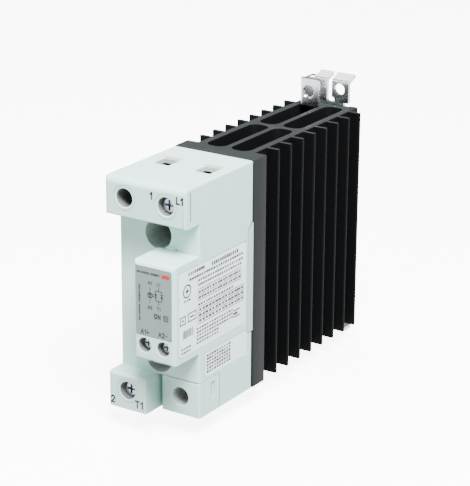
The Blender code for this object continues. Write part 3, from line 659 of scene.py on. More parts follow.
coilNet = coil()
rowsNet = printedRows()
barsNet = printedBars()
facingRight = Matrix(((0, 0, 1, 0), (1, 0, 0, 0), (0, 1, 0, 0), (0, 0, 0, 1)))  # print on the right-hand side
facingBack = Matrix.Rotation(radians(90), 4, "X")  # a coil whose axis lies front to back
print("geometry node trees made")


# camera, floor and light

camera = {
    "spot": (0.379665, -0.592363, 0.302183),
    "turn": 32.886,
    "rise": 19.291,
    "roll": 0.406,
    "lens": 144.81,
}


def placeCamera():
    data = bpy.data.cameras.new("camera")
    data.lens = camera["lens"]
    data.sensor_width = 36.0
    data.sensor_fit = "AUTO"
    data.clip_start = 0.01
    made = bpy.data.objects.new("camera", data)
    bpy.context.scene.collection.objects.link(made)
    turn = radians(camera["turn"])
    rise = radians(camera["rise"])
    roll = radians(camera["roll"])
    back = Vector((sin(turn) * cos(rise), -cos(turn) * cos(rise), sin(rise)))
    right = Vector((cos(turn), sin(turn), 0.0))
    up = back.cross(right)
    rightHand = right * cos(roll) + up * sin(roll)
    upHand = up * cos(roll) - right * sin(roll)
    matrix = Matrix((rightHand, upHand, back)).transposed().to_4x4()
    made.matrix_world = Matrix.Translation(camera["spot"]) @ matrix
    bpy.context.scene.camera = made


lights = {
    "key": {"spot": (0.41, -0.39, 0.95), "size": 0.45, "power": 60.0},
    "left fill": {"spot": (-0.85, -0.55, 0.55), "size": 0.8, "power": 9.0},
    "back": {"spot": (-0.57, 0.40, 0.86), "size": 0.8, "power": 6.0},
}
studio = {
    "sky": (0.95, 0.98, 1.0),
    "strength": 0.32,
    "planes": {  # grey, glow and depth below the relay
        "floor": (0.93, 7.0, 0.0005),  # what the camera sees
        "bounce": (0.20, 0.0, 0.0007),  # what soft light comes back from
        "gleam": (0.20, 1.8, 0.0009),  # what bright metal mirrors
    },
    "half": 4.0,
}


def lightScene():
    for name, light in lights.items():
        data = bpy.data.lights.new(name, "AREA")
        data.size = light["size"]
        data.energy = light["power"]
        made = bpy.data.objects.new(name, data)
        bpy.context.scene.collection.objects.link(made)
        made.location = light["spot"]
        aim = Vector((0.0, 0.0, 0.05)) - Vector(light["spot"])
        made.rotation_euler = aim.to_track_quat("-Z", "Y").to_euler()
    world = bpy.data.worlds.new("studio")
    world.use_nodes = True
    world.node_tree.nodes["Background"].inputs["Color"].default_value = (*studio["sky"], 1.0)
    world.node_tree.nodes["Background"].inputs["Strength"].default_value = studio["strength"]
    bpy.context.scene.world = world
    for name, (grey, glow, depth) in studio["planes"].items():
        ground = bmesh.new()
        bmesh.ops.create_grid(ground, x_segments=1, y_segments=1, size=studio["half"])
        floor = newPiece(name, ground, turned=False)
        floor.data.transform(Matrix.Translation((0, 0, cadBox[0][2] - depth)))
        pale = Finish(name, (grey, grey, grey), 0.9, Emission_Strength=glow)
        pale.shader.inputs["Emission Color"].default_value = (1.0, 1.0, 1.0, 1.0)
        floor.data.materials.append(pale.material)
        floor.visible_camera = name == "floor"
        floor.visible_diffuse = name == "bounce"
        floor.visible_glossy = name == "gleam"
        floor.visible_shadow = floor.visible_transmission = False


placeCamera()
lightScene()
print("camera, floor and lights placed")


# heat sink: the extruded core and its fins

sink = {
    "half": 17.5,
    "core": 12.5,
    "plate": 8.4,
    "rear": 84.4,
    "channelHalf": 9.05,
    "channelFloor": 82.6,
    "inner": 9.5,
    "rib": 1.2,
    "rows": ((7.5, 41.4), (44.0, 79.4)),
    "slotRadius": 3.4,
    "height": 89.4,
    "edge": 0.14,
    "root": 0.7,
    "tip": 0.35,
    "screwBore": 1.75,
    "fixingBore": 2.3,
}
fins = {"count": 8, "pitch": 8.62, "thickness": 1.4, "reach": 5.6, "height": 89.3, "inner": 11.9, "lift": 0.05}


def flatOutline(name, loops, height, edge):  # a filled outline along Z with softened end edges
    curve = bpy.data.curves.new(name, "CURVE")
    curve.dimensions = "2D"
    curve.fill_mode = "BOTH"
    curve.bevel_depth = edge * mm
    curve.bevel_resolution = 1
    curve.offset = -edge * mm
    curve.extrude = (height / 2 - edge) * mm
    for loop in loops:
        spline = curve.splines.new("POLY")
        spline.points.add(len(loop) - 1)
        for point, (u, v) in zip(spline.points, loop):
            point.co = (u * mm, v * mm, 0, 1)
        spline.use_cyclic_u = True
    drawn = bpy.data.objects.new(name, curve)
    bpy.context.scene.collection.objects.link(drawn)
    view = bpy.context.evaluated_depsgraph_get()
    mesh = bpy.data.meshes.new_from_object(drawn.evaluated_get(view))
    bpy.data.objects.remove(drawn)
    bpy.data.curves.remove(curve)
    mesh.transform(Matrix.Translation(at(0, 0, height / 2)))
    made = bpy.data.objects.new(name, mesh)
    bpy.context.scene.collection.objects.link(made)
    shape = bmesh.new()
    shape.from_mesh(mesh)
    bmesh.ops.remove_doubles(shape, verts=shape.verts, dist=2e-6)
    bmesh.ops.recalc_face_normals(shape, faces=shape.faces)
    shape.to_mesh(mesh)
    shape.free()
    return made


def heatSink():
    half, core, plate, rear = sink["half"], sink["core"], sink["plate"], sink["rear"]
    right = [
        (half, 0.0, 0.3),
        (half, plate, sink["tip"]),
        (core, plate, sink["root"]),
        (core, rear, 0.4),
        (sink["channelHalf"], rear, 0.25),
        (sink["channelHalf"], sink["channelFloor"], 0.25),
    ]
    corners = right + [(-u, v, radius) for u, v, radius in reversed(right)]
    loops = [roundLoop(corners, 3)]
    for front, back in sink["rows"]:
        for low, high in ((sink["rib"], sink["inner"]), (-sink["inner"], -sink["rib"])):
            loops.append(roundRect(low, front, high, back, sink["slotRadius"], 8))
    made = flatOutline("heatSinkCore", loops, sink["height"], sink["edge"])
    tools = []
    for side in (-1, 1):
        for x, z in (rearSpots["clip"], rearSpots["guide"]):
            tools.append(pillar((side * x, 79.1, z), (side * x, rear + 0.2, z), sink["screwBore"], sides=24))
    x, z = rearSpots["pin"]
    tools.append(pillar((x, 80.4, z), (x, rear + 0.2, z), sink["screwBore"], sides=24))
    tools.append(slab((-1.95, 81.7, 9.45), (1.95, rear + 0.2, 20.3)))  # room for the latch's spring
    x = fixing["x"]
    for z in fixing["heights"]:
        tools.append(pillar((x, -0.3, z), (x, 6.3, z), sink["fixingBore"], sides=32))
    carve(made, *tools)
    made.data.shade_smooth()
    made.data.set_sharp_from_angle(angle=radians(30))
    comb = grow(
        "coolingFins",
        finComb(),
        finShadeBlack,
        spot=(0, plate + fins["pitch"], fins["lift"]),
        Count=fins["count"],
        Pitch=fins["pitch"] * mm,
        Thickness=fins["thickness"] * mm,
        Reach=fins["reach"] * mm,
        Height=fins["height"] * mm,
        Inner=fins["inner"] * mm,
    )
    soften(comb, 0.12)
    dress(comb, finShadeBlack, "relay_body")
    comb.data.materials.append(paint["black_anodised"])
    for face in comb.data.polygons:  # the ends keep the core's black; the sides' darker black is painted shade
        if abs(face.normal.z) > 0.6:
            face.material_index = 1
    dress(made, paint["black_anodised"], "relay_body", ["heat_sink"])
    made.data.materials.append(finShadeBlack)
    for face in made.data.polygons:  # the walls of the slots take the fins' darker black as painted shade
        if abs(face.normal.z) < 0.6 and face.center.y > at(0, 7.0, 0).y and abs(face.center.x) < 0.014:
            face.material_index = 1


heatSink()
print("heat sink made")


# housing

shell = {
    "half": 17.32,
    "face": -35.4,
    "back": -0.7,
    "low": 0.18,
    "top": 89.4,
    "brow": -44.1,
    "browLow": 74.9,
    "step": -43.4,
    "stepHigh": 14.18,
    "stepRight": -1.1,
    "coverLeft": 0.2,
    "pocket": 5.65,
    "ring": 4.45,
    "screwHole": 3.4,
    "plainHole": 3.45,
    "softEdge": 2.6,
    "corner": 1.3,
}
screwSpots = {"line": (pole, -41.6, 82.1), "load": (-pole, -40.9, 7.98)}
entries = {"half": 3.7, "front": -22.2, "back": -13.8, "funnel": 0.9}


def ringGroove(x, y, z, radius, width=0.34, depth=0.3):
    outer = pillar((x, y - 0.3, z), (x, y + depth, z), radius + width, sides=96)
    return carve(outer, pillar((x, y - 0.6, z), (x, y + depth + 0.3, z), radius, sides=96))


def funnel(x, front, back, half, start, end, flare):  # the flared mouth of a wire entry, widest at start
    shape = bmesh.new()
    rings = []
    for z, extra in ((start, flare), (end, 0.0)):
        spots = ((-1, front - extra), (1, front - extra), (1, back + extra), (-1, back + extra))
        rings.append([shape.verts.new(at(x + side * (half + extra), y, z)) for side, y in spots])
    shape.faces.new(rings[0])
    shape.faces.new(list(reversed(rings[1])))
    for i in range(4):
        j = (i + 1) % 4
        shape.faces.new((rings[0][j], rings[0][i], rings[1][i], rings[1][j]))
    return newPiece("funnel", shape)


arm = {"front": -3.4, "back": -0.3, "low": 23.5, "high": 65.9, "cut": (-1.2, 63.7)}


def armOutline(room):  # the carrier's side arm with its top corner cut off, or the groove for it
    front, back = arm["front"] - room, arm["back"] + room
    low, high = arm["low"] - room, arm["high"] + room
    return [(front, low), (back, low), (back, high), (arm["cut"][0] - room, high), (front, arm["cut"][1])]


def housing():
    half, face, low, top = shell["half"], shell["face"], shell["low"], shell["top"]
    back, browLow, step = shell["back"], shell["browLow"], shell["step"]
    radii = {"uprights": 0.9, "frontLow": 0.4, "back": 0.25}
    made = roundBlock((-half, face, low), (half, back, browLow + 4), "housingShell", **radii)
    radii = {"frontTop": shell["softEdge"], "uprights": shell["corner"]}
    radii |= {"frontLow": 0.7, "sideTop": 0.7, "back": 0.3}
    brow = roundBlock((-half, shell["brow"], browLow), (half, back, top), "brow", **radii)
    radii = {"frontTop": 1.2, "uprights": 1.2, "frontLow": 0.9, "sideTop": 0.4}
    nose = roundBlock((-half, step, low), (shell["stepRight"], -30.0, shell["stepHigh"]), "nose", **radii)
    join(made, brow, nose)
    inner = half - 1.8
    tools = [
        slab((-inner, -33.6, 15.98), (inner, 0.3, 74.0)),
        slab((-inner, -4.0, 1.98), (inner, 0.3, 87.6)),
    ]
    for side in (-1, 1):
        ends = sorted((side * 1.0, side * inner))
        tools.append(slab((ends[0], -30.0, 75.8), (ends[1], 0.3, 87.6)))
        tools.append(slab((ends[0], -30.0, 1.98), (ends[1], 0.3, 14.18)))
    carve(made, *tools)
    middle, heights, pocket = fixing["x"], fixing["heights"], shell["pocket"]
    bosses = [pillar((middle, -34.5, z), (middle, -5.8, z), pocket + 1.2) for z in heights]
    for x in (-pole, pole):  # short ducts from the wire entries to the cages
        bosses.append(slab((x - 4.6, -23.1, 86.9), (x + 4.6, -12.9, 88.0)))
        bosses.append(slab((x - 4.6, -23.1, 1.5), (x + 4.6, -12.9, 2.25)))
    join(made, *bosses)
    tools = [
        slab((shell["coverLeft"] - 0.3, face - 0.3, -0.3), (half + 1, -22.0, shell["stepHigh"])),
        slab((shell["stepRight"], face - 0.3, -0.3), (shell["coverLeft"], -29.7, shell["stepHigh"])),
    ]
    for z in heights:
        tools.append(pillar((middle, shell["brow"], z), (middle, -6.8, z), pocket, sides=96))
        tools.append(pillar((middle, -7.1, z), (middle, 0.3, z), sink["fixingBore"], sides=32))
    wide, plain = shell["screwHole"], shell["plainHole"]
    lineX, lineZ = screwSpots["line"][::2]
    loadX, loadZ = screwSpots["load"][::2]
    tools.append(pillar((-pole, -44.4, lineZ), (-pole, -28.2, lineZ), plain, sides=96))
    for x, head, z in screwSpots.values():
        tools.append(pillar((x, head - 3.2, z), (x, head + 2.9, z), wide, sides=96))
        tools.append(pillar((x, head, z), (x, -28.2, z), 2.75, sides=48))
    for x in (-pole, pole):
        across, flare = entries["half"], entries["funnel"]
        front, back = entries["front"], entries["back"]
        tools.append(slab((x - across, front, 86.2), (x + across, back, top + 0.3)))
        tools.append(slab((x - across, front, -0.3), (x + across, back, 3.8)))
        tools.append(funnel(x, front, back, across, top + 0.01, top - flare, flare * 0.8))
        tools.append(funnel(x, front, back, across, low - 0.01, low + flare, flare * 0.8))
    tools += [
        ringGroove(-pole, shell["brow"], lineZ, shell["ring"]),
        ringGroove(pole, shell["brow"], lineZ, shell["ring"]),
        ringGroove(-pole, shell["step"], loadZ, shell["ring"]),
        slab((half - 1.2, -41.15, 77.3), (half + 1, -40.65, 88.0)),  # the side's slit
        slab((7.3, -20.5, 73.7), (11.5, -18.7, 76.1)),  # ways for the busbars
        slab((-11.5, -20.5, 13.9), (-7.3, -18.7, 16.3)),
        slab((9.2, face - 0.3, 38.6), (12.8, -30.0, 47.4)),  # the control block's plug
    ]
    for first, last in ((-35.7, 27.7), (-4.7, 60.1)), ((-31.9, 14.7), (-3.45, 25.0)):  # seats of the stickers
        tools.append(slab((half - 0.3, *first), (half + 1, *last)))
    for side in (-1, 1):
        reach = sorted((side * (inner - 0.3), side * (half + 1)))
        tools.append(prism(armOutline(0.42), "x", *reach))
    tools.append(rimCone(-pole, shell["brow"], lineZ, plain))
    tools.append(rimCone(lineX, shell["brow"], lineZ, wide))
    tools.append(rimCone(loadX, shell["step"], loadZ, wide))
    carve(made, *tools)
    soften(made)
    dress(made, paint["housing_plastic"], "relay_body", ["housing"])
    behindBrow, behindStep = shell["brow"] + 0.3, shell["step"] + 0.3
    holes = [(-pole, lineZ, plain, behindBrow), (lineX, lineZ, wide, behindBrow), (loadX, loadZ, wide, behindStep)]
    # the walls of the holes, the inner rooms, the side's slit and the arm grooves take the dark plastic as painted
    # shade
    shadeHoleWalls(made, holeShadePlastic, holes)
    rooms = [
        ((-inner - 0.1, -33.7, 15.9), (inner + 0.1, 1.0, 74.1)),
        ((-inner - 0.1, -30.1, 2.3), (inner + 0.1, 1.0, 86.8)),
        ((half - 1.3, -41.3, 77.2), (half - 0.05, -40.5, 88.1)),
        ((inner, -3.9, 23.0), (half - 0.05, 0.2, 66.4)),
        ((-half + 0.05, -3.9, 23.0), (-inner, 0.2, 66.4)),
    ]
    shadeRoomFaces(made, 1, rooms)
    # the pockets and the ducts take the less dark plastic as painted shade
    shadeHoleWalls(made, pocketShadePlastic, [(middle, z, pocket, face + 0.1) for z in heights])
    ducts = []
    for x in (-pole, pole):
        for z in (87.9, 1.7):
            ducts.append(((x - 4.0, -23.0, z - 1.5), (x + 4.0, -12.9, z + 1.45)))
    shadeRoomFaces(made, 2, ducts)


housing()
print("housing made")

# snap-on cover over the unused lower terminal

cover = {
    "left": 0.2,
    "right": 17.32,
    "front": -35.4,
    "back": -22.3,
    "low": 0.18,
    "high": 13.88,
    "skin": 1.4,
    "chamfer": 1.1,
    "hole": 3.45,
    "holeHeight": 7.18,
}


def blankCover():
    left, right, front, back = cover["left"], cover["right"], cover["front"], cover["back"]
    low, high, skin = cover["low"], cover["high"], cover["skin"]
    bend = cover["chamfer"]
    plan = [
        (left, back, 0),
        (left, front + bend, 0.3),
        (left + bend, front, 0.3),
        (right, front, 0.9),
        (right, back, 0),
    ]
    made = prism(roundLoop(plan, 6), "z", low, high, "blankCover")
    crown = [(front, low, 0.3), (front, high, 0.7), (back, high, 0), (back, low, 0)]
    carve(made, prism(roundLoop(crown, 6), "x", left - 1, right + 1), operation="INTERSECT")
    z = cover["holeHeight"]
    carve(made, slab((left + skin, front + skin, low + skin), (right - skin, back + 0.3, high - skin)))
    join(made, pillar((pole, front + 0.7, z), (pole, front + 9.2, z), cover["hole"] + 0.9, sides=96))
    carve(
        made,
        pillar((pole, front - 0.3, z), (pole, front + 8.2, z), cover["hole"], sides=96),
        rimCone(pole, front, z, cover["hole"]),
        slab((right - 3.0, -27.8, 6.0), (right + 0.2, -25.2, 12.0)),
        slab((right - 0.25, -32.25, 1.2), (right + 0.2, -32.0, 11.5)),
        pillar((right - 0.2, -23.4, 12.9), (right + 0.2, -23.4, 12.9), 0.45, sides=24),
    )
    latch = slab((right - 1.2, -26.6, 6.3), (right - 0.35, -25.5, 11.7), "snapTongue")
    soften(latch, 0.15)
    dress(latch, paint["housing_plastic"], "relay_body")
    soften(made)
    dress(made, paint["housing_plastic"], "relay_body", ["blank_terminal_cover"])
    # the hole's walls take the less dark plastic as painted shade
    shadeHoleWalls(made, pocketShadePlastic, [(pole, z, cover["hole"], front + 0.3)])


blankCover()
print("terminal cover made")


# control block, its face plate and its lamp

block = {
    "left": -0.5,
    "right": 17.32,
    "front": -50.9,
    "back": -35.7,
    "low": 25.7,
    "high": 63.0,
    "skin": 1.4,
    "corner": 1.7,
    "brow": 1.9,
    "screws": (4.38, 12.39),
    "screwHeight": 31.6,
    "screwHead": -48.4,
    "hole": 2.65,
    "plate": (0.7, 35.3, 15.8, 61.0),
    "lamp": (13.43, 43.3, 1.9, 2.2),
}


def controlBlock():
    left, right, front, back = block["left"], block["right"], block["front"], block["back"]
    low, high, skin = block["low"], block["high"], block["skin"]
    radii = {"frontTop": block["brow"], "uprights": block["corner"]}
    radii |= {"frontLow": 1.2, "sideTop": 0.5, "sideLow": 0.4}
    made = roundBlock((left, front, low), (right, back, high), "controlBlock", **radii)
    tools = [
        slab((left + skin, front + skin, 36.4), (right - skin, back + 1, high - skin)),
        slab((left + skin, -45.75, low + skin), (right - skin, back + 1, 36.7)),
    ]
    plateLeft, plateLow, plateRight, plateHigh = block["plate"]
    seat = roundRect(plateLeft - 0.25, plateLow - 0.25, plateRight + 0.25, plateHigh + 0.25, 0.7)
    tools.append(prism(seat, "y", front - 0.3, front + 0.9))
    x, z, across, along = block["lamp"]
    reach = (across / 2 + 0.3, along / 2 + 0.3)
    tools.append(slab((x - reach[0], front - 0.3, z - reach[1]), (x + reach[0], front + 3, z + reach[1])))
    tools.append(slab((right - 0.3, -48.3, 27.7), (right + 0.3, back + 0.3, 60.1)))
    tools.append(slab((6.5, front - 0.3, low - 0.3), (7.9, front + 1.3, low + 0.7)))
    z = block["screwHeight"]
    for x in block["screws"]:
        tools.append(pillar((x, front - 0.3, z), (x, -46.7, z), block["hole"], sides=96))
        tools.append(pillar((x, front - 0.3, z), (x, -45.3, z), 1.75, sides=32))
        tools.append(slab((x - 2.2, -42.5, low - 0.3), (x + 2.2, -37.9, low + skin + 0.3)))
        tools.append(rimCone(x, front, z, block["hole"], 0.2))
    carve(made, *tools)
    soften(made)
    dress(made, paint["control_plastic"], "relay_body", ["control_cover"])
    # the screw holes' walls take the dark plastic as painted shade
    shadeHoleWalls(made, holeShadePlastic, [(x, z, block["hole"], front + 0.3) for x in block["screws"]])
    outline = [(3.2, -35.95, 0.1), (7.4, -35.95, 0.1), (7.4, -35.45, 0), (3.2, -35.45, 0)]
    tab = prism(roundLoop(outline, 2), "z", high, high + 1.0, "coverTab")
    soften(tab, 0.1)
    dress(tab, paint["control_plastic"], "relay_body")


def facePlate():
    plateLeft, plateLow, plateRight, plateHigh = block["plate"]
    front = block["front"]
    outline = roundRect(plateLeft, plateLow, plateRight, plateHigh, 0.5)
    made = prism(outline, "y", front + 0.05, front + 0.6, "facePlate")
    x, z, across, along = block["lamp"]
    reach = (across / 2 + 0.15, along / 2 + 0.15)
    carve(made, slab((x - reach[0], front - 0.3, z - reach[1]), (x + reach[0], front + 1, z + reach[1])))
    soften(made, 0.05, 1)
    dress(made, paint["label_grey"], "relay_body", ["front_label"])
    outline = roundRect(x - across / 2, z - along / 2, x + across / 2, z + along / 2, 0.15, 3)
    lens = prism(outline, "y", front + 0.1, -42.6, "lampLens")
    grooves = []
    for i in range(4):
        spot = x - across / 2 + (i + 0.5) * across / 4
        grooves.append(slab((spot - 0.09, front - 0.1, z - along), (spot + 0.09, front + 0.28, z + along)))
    carve(lens, *grooves)
    soften(lens)
    dress(lens, paint["lamp_clear"], "relay_body", ["lamp_window"])


controlBlock()
facePlate()
print("control block made")


# carrier frame

carrier = {"inner": 15.22, "front": -3.4, "back": -1.6, "low": 2.6, "high": 86.8, "half": 17.5}


def carrierFrame():
    inner = carrier["inner"]
    front, back = carrier["front"], carrier["back"]
    made = slab((-inner, front, carrier["low"]), (inner, back, carrier["high"]), "carrierFrame")
    pieces = []
    for side in (-1, 1):
        reach = sorted((side * (inner - 0.3), side * carrier["half"]))
        pieces.append(prism(armOutline(0.0), "x", *reach))
        for z in (40.0, 48.0):
            pieces.append(pillar((side * 13.3, -1.9, z), (side * 13.3, -21.4, z), 1.2, sides=24))
    join(made, *pieces)
    tools = [slab((-11.8, front - 0.3, 29.5), (11.8, back + 0.3, 58.5))]
    for z in fixing["heights"]:
        tools.append(pillar((fixing["x"], front - 0.3, z), (fixing["x"], back + 0.3, z), 3.15, sides=32))
    carve(made, *tools)
    soften(made)
    dress(made, carrierPlastic, "relay_body", ["carrier_frame"])
    made.data.materials.append(holeShadePlastic)
    for face in made.data.polygons:  # the edges of the arms lie deep in their grooves, and take the dark hole plastic as painted shade
        if abs(face.center.x) > 0.0152 and abs(face.normal.x) < 0.5:
            face.material_index = 1


raised = {"left": -3.9, "bars": (1.1, 0.6, 1.5, 0.9, 1.3), "gap": 0.55, "front": -6.35, "back": -5.65, "height": 0.1}


def mouldMark():  # a faint raised row on the housing's top, near the heat sink
    x, top = raised["left"], shell["top"]
    bars = []
    for length in raised["bars"]:
        outline = roundRect(x, raised["front"], x + length, raised["back"], 0.15, 3)
        bars.append(prism(outline, "z", top - 0.02, top + raised["height"]))
        x += length + raised["gap"]
    dress(gather("mouldMark", *bars), carrierPlastic, "relay_body")


carrierFrame()
mouldMark()
print("carrier frame made")


# stickers and print

inkPlace = {"skin": 0.03, "side": 17.32, "front": -50.85}


def lineCorners(start, end, width):
    first, last = Vector(start), Vector(end)
    along = (last - first).normalized() * (width / 2)
    across = Vector((-along.y, along.x))
    corners = [first - along + across, first - along - across, last + along - across, last + along + across]
    return [tuple(corner) for corner in corners]


def sideStroke(start, end, width=0.3):  # a thin printed line on the right-hand face, from (y, z) to (y, z)
    side = inkPlace["side"]
    return prism(lineCorners(start, end, width), "x", side - 0.01, side + inkPlace["skin"])


def rule(low, high):  # a thin printed bar on the right-hand face, from (y, z) to (y, z)
    return slab((inkPlace["side"] - 0.01, *low), (inkPlace["side"] + inkPlace["skin"], *high))


def stroke(start, end, width=0.3, front=inkPlace["front"]):  # the same on a front face, from (x, z) to (x, z)
    return prism(lineCorners(start, end, width), "y", front - inkPlace["skin"], front + 0.01)


glyphs = {  # strokes of the terminal marks on a body one unit high
    "1": [[(0.05, 0.72), (0.32, 0.98), (0.32, 0.0)]],
    "2": [
        [(0.03, 0.74), (0.12, 0.93), (0.32, 1.0), (0.52, 0.92), (0.58, 0.70), (0.48, 0.5), (0.02, 0.02), (0.62, 0.02)]
    ],
    "L": [[(0.05, 1.0), (0.05, 0.02), (0.5, 0.02)]],
    "T": [[(0.0, 0.98), (0.62, 0.98)], [(0.31, 0.98), (0.31, 0.0)]],
    "A": [[(0.0, 0.0), (0.34, 1.0), (0.68, 0.0)], [(0.14, 0.33), (0.54, 0.33)]],
    "O": [[(0.36 + 0.34 * sin(pi * i / 8), 0.5 + 0.5 * cos(pi * i / 8)) for i in range(17)]],
    "N": [[(0.06, 0.0), (0.06, 1.0), (0.6, 0.0), (0.6, 1.0)]],
    "+": [[(0.05, 0.5), (0.55, 0.5)], [(0.3, 0.25), (0.3, 0.75)]],
    "-": [[(0.08, 0.5), (0.5, 0.5)]],
}


def mark(text, height, centre, weight, front=inkPlace["front"]):  # a terminal mark centred on (x, z)
    widths = [max(x for line in glyphs[letter] for x, z in line) + 0.26 for letter in text]
    x = centre[0] - (sum(widths) - 0.26) * height / 2
    low = centre[1] - height / 2
    made = []
    for letter, width in zip(text, widths):
        for line in glyphs[letter]:
            spots = [(x + u * height, low + v * height) for u, v in line]
            made += [stroke(first, last, weight, front) for first, last in zip(spots, spots[1:])]
        x += width * height
    return made


def hoop(centre, radius, width, sides=14):
    turns = [2 * pi * i / sides for i in range(sides)]
    spots = [(centre[0] + radius * cos(turn), centre[1] + radius * sin(turn)) for turn in turns]
    return [stroke(spots[i - 1], spots[i], width) for i in range(sides)]


def arrow(points):
    return prism(points, "y", inkPlace["front"] - inkPlace["skin"], inkPlace["front"] + 0.01)


def wording(y, z, rows, words, rowPitch, wordPitch, height, seed):
    # y and z are the place of the first row's left end
    return grow(
        "wording",
        rowsNet,
        darkInk,
        spot=(inkPlace["side"] + inkPlace["skin"] / 2, y + wordPitch / 2, z),
        turn=facingRight,
        Rows=rows,
        Words=words,
        **{
            "Row Pitch": rowPitch * mm,
            "Word Pitch": wordPitch * mm,
            "Height": height * mm,
            "Depth": inkPlace["skin"] * mm,
            "Seed": seed,
        },
    )


films = {"rating_label": (-48.0, 28.0, -5.0, 59.8), "notes_label": (-31.6, 15.0, -3.75, 24.7)}


def stickers():
    side = inkPlace["side"]
    for name, corners in films.items():
        film = prism(roundRect(*corners, 1.5), "x", side - 0.12, side, camel(name))
        film.data.shade_smooth()
        film.data.set_sharp_from_angle(angle=radians(30))
        dress(film, paint["sticker_white"], "relay_body", [name])
    rows = [
        wording(-42.6, 58.2, 1, 8, 1, 1.32, 1.15, 1),
        wording(-27.8, 57.9, 1, 13, 1, 1.36, 1.35, 2),
        wording(-41.8, 56.0, 1, 23, 1, 1.52, 0.85, 3),
        wording(-36.4, 54.1, 1, 19, 1, 1.55, 0.8, 4),
        wording(-36.4, 52.4, 1, 19, 1, 1.5, 0.8, 5),
        wording(-36.0, 49.6, 2, 16, 2.1, 1.72, 0.85, 6),
        wording(-36.4, 44.9, 1, 14, 1, 1.65, 0.8, 7),
        wording(-35.9, 42.75, 3, 14, 2.05, 2.1, 0.9, 8),
        wording(-37.3, 35.9, 3, 15, 1.35, 1.6, 0.7, 9),
        wording(-37.3, 31.8, 2, 9, 1.35, 1.6, 0.7, 10),
        wording(-47.0, 31.0, 2, 4, 1.5, 1.6, 0.65, 11),
        wording(-45.2, 48.7, 1, 3, 1, 1.4, 0.7, 12),
        wording(-30.8, 23.4, 6, 10, 1.27, 1.6, 0.8, 13),
    ]
    lines = []
    for left, right, heights, uprights in (
        (-36.4, -8.4, (50.7, 48.6, 46.5), 8),
        (-36.4, -6.4, (43.8, 41.75, 39.7, 37.6), 7),
    ):
        for z in heights:
            lines.append(rule((left, z - 0.13), (right, z + 0.13)))
        for i in range(uprights + 1):
            y = left + (right - left) * i / uprights
            lines.append(rule((y - 0.1, heights[-1]), (y + 0.1, heights[0])))
    ring = [(-43.1 + 2.3 * cos(pi * i / 12), 52.2 + 2.3 * sin(pi * i / 12)) for i in range(25)]
    lines += [sideStroke(first, last, 0.5) for first, last in zip(ring, ring[1:])]
    lines += [rule((-44.2, 51.9), (-42.0, 52.5)), rule((-43.4, 51.1), (-42.8, 53.3))]
    for left, low, right, high in ((-47.4, 40.4, -44.2, 43.2), (-42.4, 40.4, -37.6, 43.4)):
        corners = [(left, low), (right, low), (right, high), (left, high), (left, low)]
        lines += [sideStroke(first, last, 0.45) for first, last in zip(corners, corners[1:])]
        lines.append(rule((left + 1.0, (low + high) / 2 - 0.3), (right - 1.0, (low + high) / 2 + 0.3)))
    bars = grow(
        "bars",
        barsNet,
        darkInk,
        spot=(side + inkPlace["skin"] / 2, -45.5, 36.3),
        turn=facingRight,
        Count=14,
        Pitch=0.00048,
        Height=0.0030,
        Depth=inkPlace["skin"] * mm,
    )
    lines.append(rule((-13.2, 32.4), (-8.9, 32.9)))
    lines.append(rule((-13.2, 34.8), (-8.9, 35.3)))
    lines.append(rule((-13.2, 33.4), (-10.4, 34.3)))
    made = gather("sidePrint", bars, *rows, *lines)
    dress(made, darkInk, "relay_body")


def frontPrint():
    front = inkPlace["front"]
    brow, step = shell["brow"], shell["step"]
    ink = mark("1", 2.3, (2.7, 85.1), 0.62, brow) + mark("L1", 2.3, (14.8, 85.2), 0.62, brow)
    ink += mark("2", 2.5, (-15.5, 3.3), 0.56, step) + mark("T1", 2.5, (-3.8, 3.6), 0.56, step)
    ink += mark("A1+", 1.6, (4.5, 36.7), 0.34) + mark("A2-", 1.6, (12.3, 36.9), 0.34)
    ink += mark("ON", 1.6, (9.9, 43.5), 0.34)
    ink += mark("A1", 1.1, (6.8, 55.6), 0.26) + mark("L1", 1.1, (10.5, 55.6), 0.26)
    ink += mark("A2", 1.1, (6.8, 46.4), 0.26) + mark("T1", 1.1, (10.5, 46.5), 0.26)
    ink += [stroke((6.85, 53.9), (6.85, 52.6)), stroke((6.85, 49.4), (6.85, 48.1))]
    ink += hoop((6.85, 51.0), 0.95, 0.34)
    ink.append(arrow([(6.2, 51.6), (6.85, 50.4), (7.5, 51.6)]))
    ink.append(stroke((6.2, 50.35), (7.5, 50.35), 0.25))
    ink += [stroke((8.0, 51.5), (8.7, 51.9), 0.2), stroke((8.0, 50.7), (8.7, 51.1), 0.2)]
    ink += [stroke((10.6, 54.3), (10.6, 53.1)), stroke((10.6, 49.4), (10.6, 48.1))]
    ink += [stroke((9.3, 53.1), (11.9, 53.1), 0.28), stroke((9.3, 49.4), (11.9, 49.4), 0.28)]
    ink += [stroke((9.3, 53.1), (9.3, 49.4), 0.28), stroke((11.9, 53.1), (11.9, 49.4), 0.28)]
    ink.append(arrow([(8.7, 51.9), (9.3, 50.7), (9.9, 51.9)]))
    ink.append(arrow([(11.3, 50.6), (11.9, 51.8), (12.5, 50.6)]))
    ink += [stroke((8.7, 50.6), (9.9, 50.6), 0.25), stroke((11.3, 51.95), (12.5, 51.95), 0.25)]
    made = gather("frontPrint", *ink)
    dress(made, darkInk, "relay_body")
    small = []
    for i, length in enumerate((1.5, 2.4, 1.1, 2.6, 1.7, 2.0)):
        z = 41.0 + i * 2.3
        small.append(stroke((2.25, z), (2.25, z + length * 0.75), 0.75))
    for i, length in enumerate((1.0, 1.5, 0.8, 1.9, 1.3)):
        x = 1.6 + i * 1.95
        small.append(stroke((x, 59.0), (x + length * 0.8, 59.0), 0.85))
    made = gather("palePrint", *small)
    dress(made, paleInk, "relay_body")
    made = prism(roundRect(11.9, 58.2, 15.1, 59.6, 0.25, 3), "y", front - inkPlace["skin"], front + 0.01, "redTab")
    dress(made, redInk, "relay_body")


stickers()
frontPrint()
print("stickers and print made")


# screws

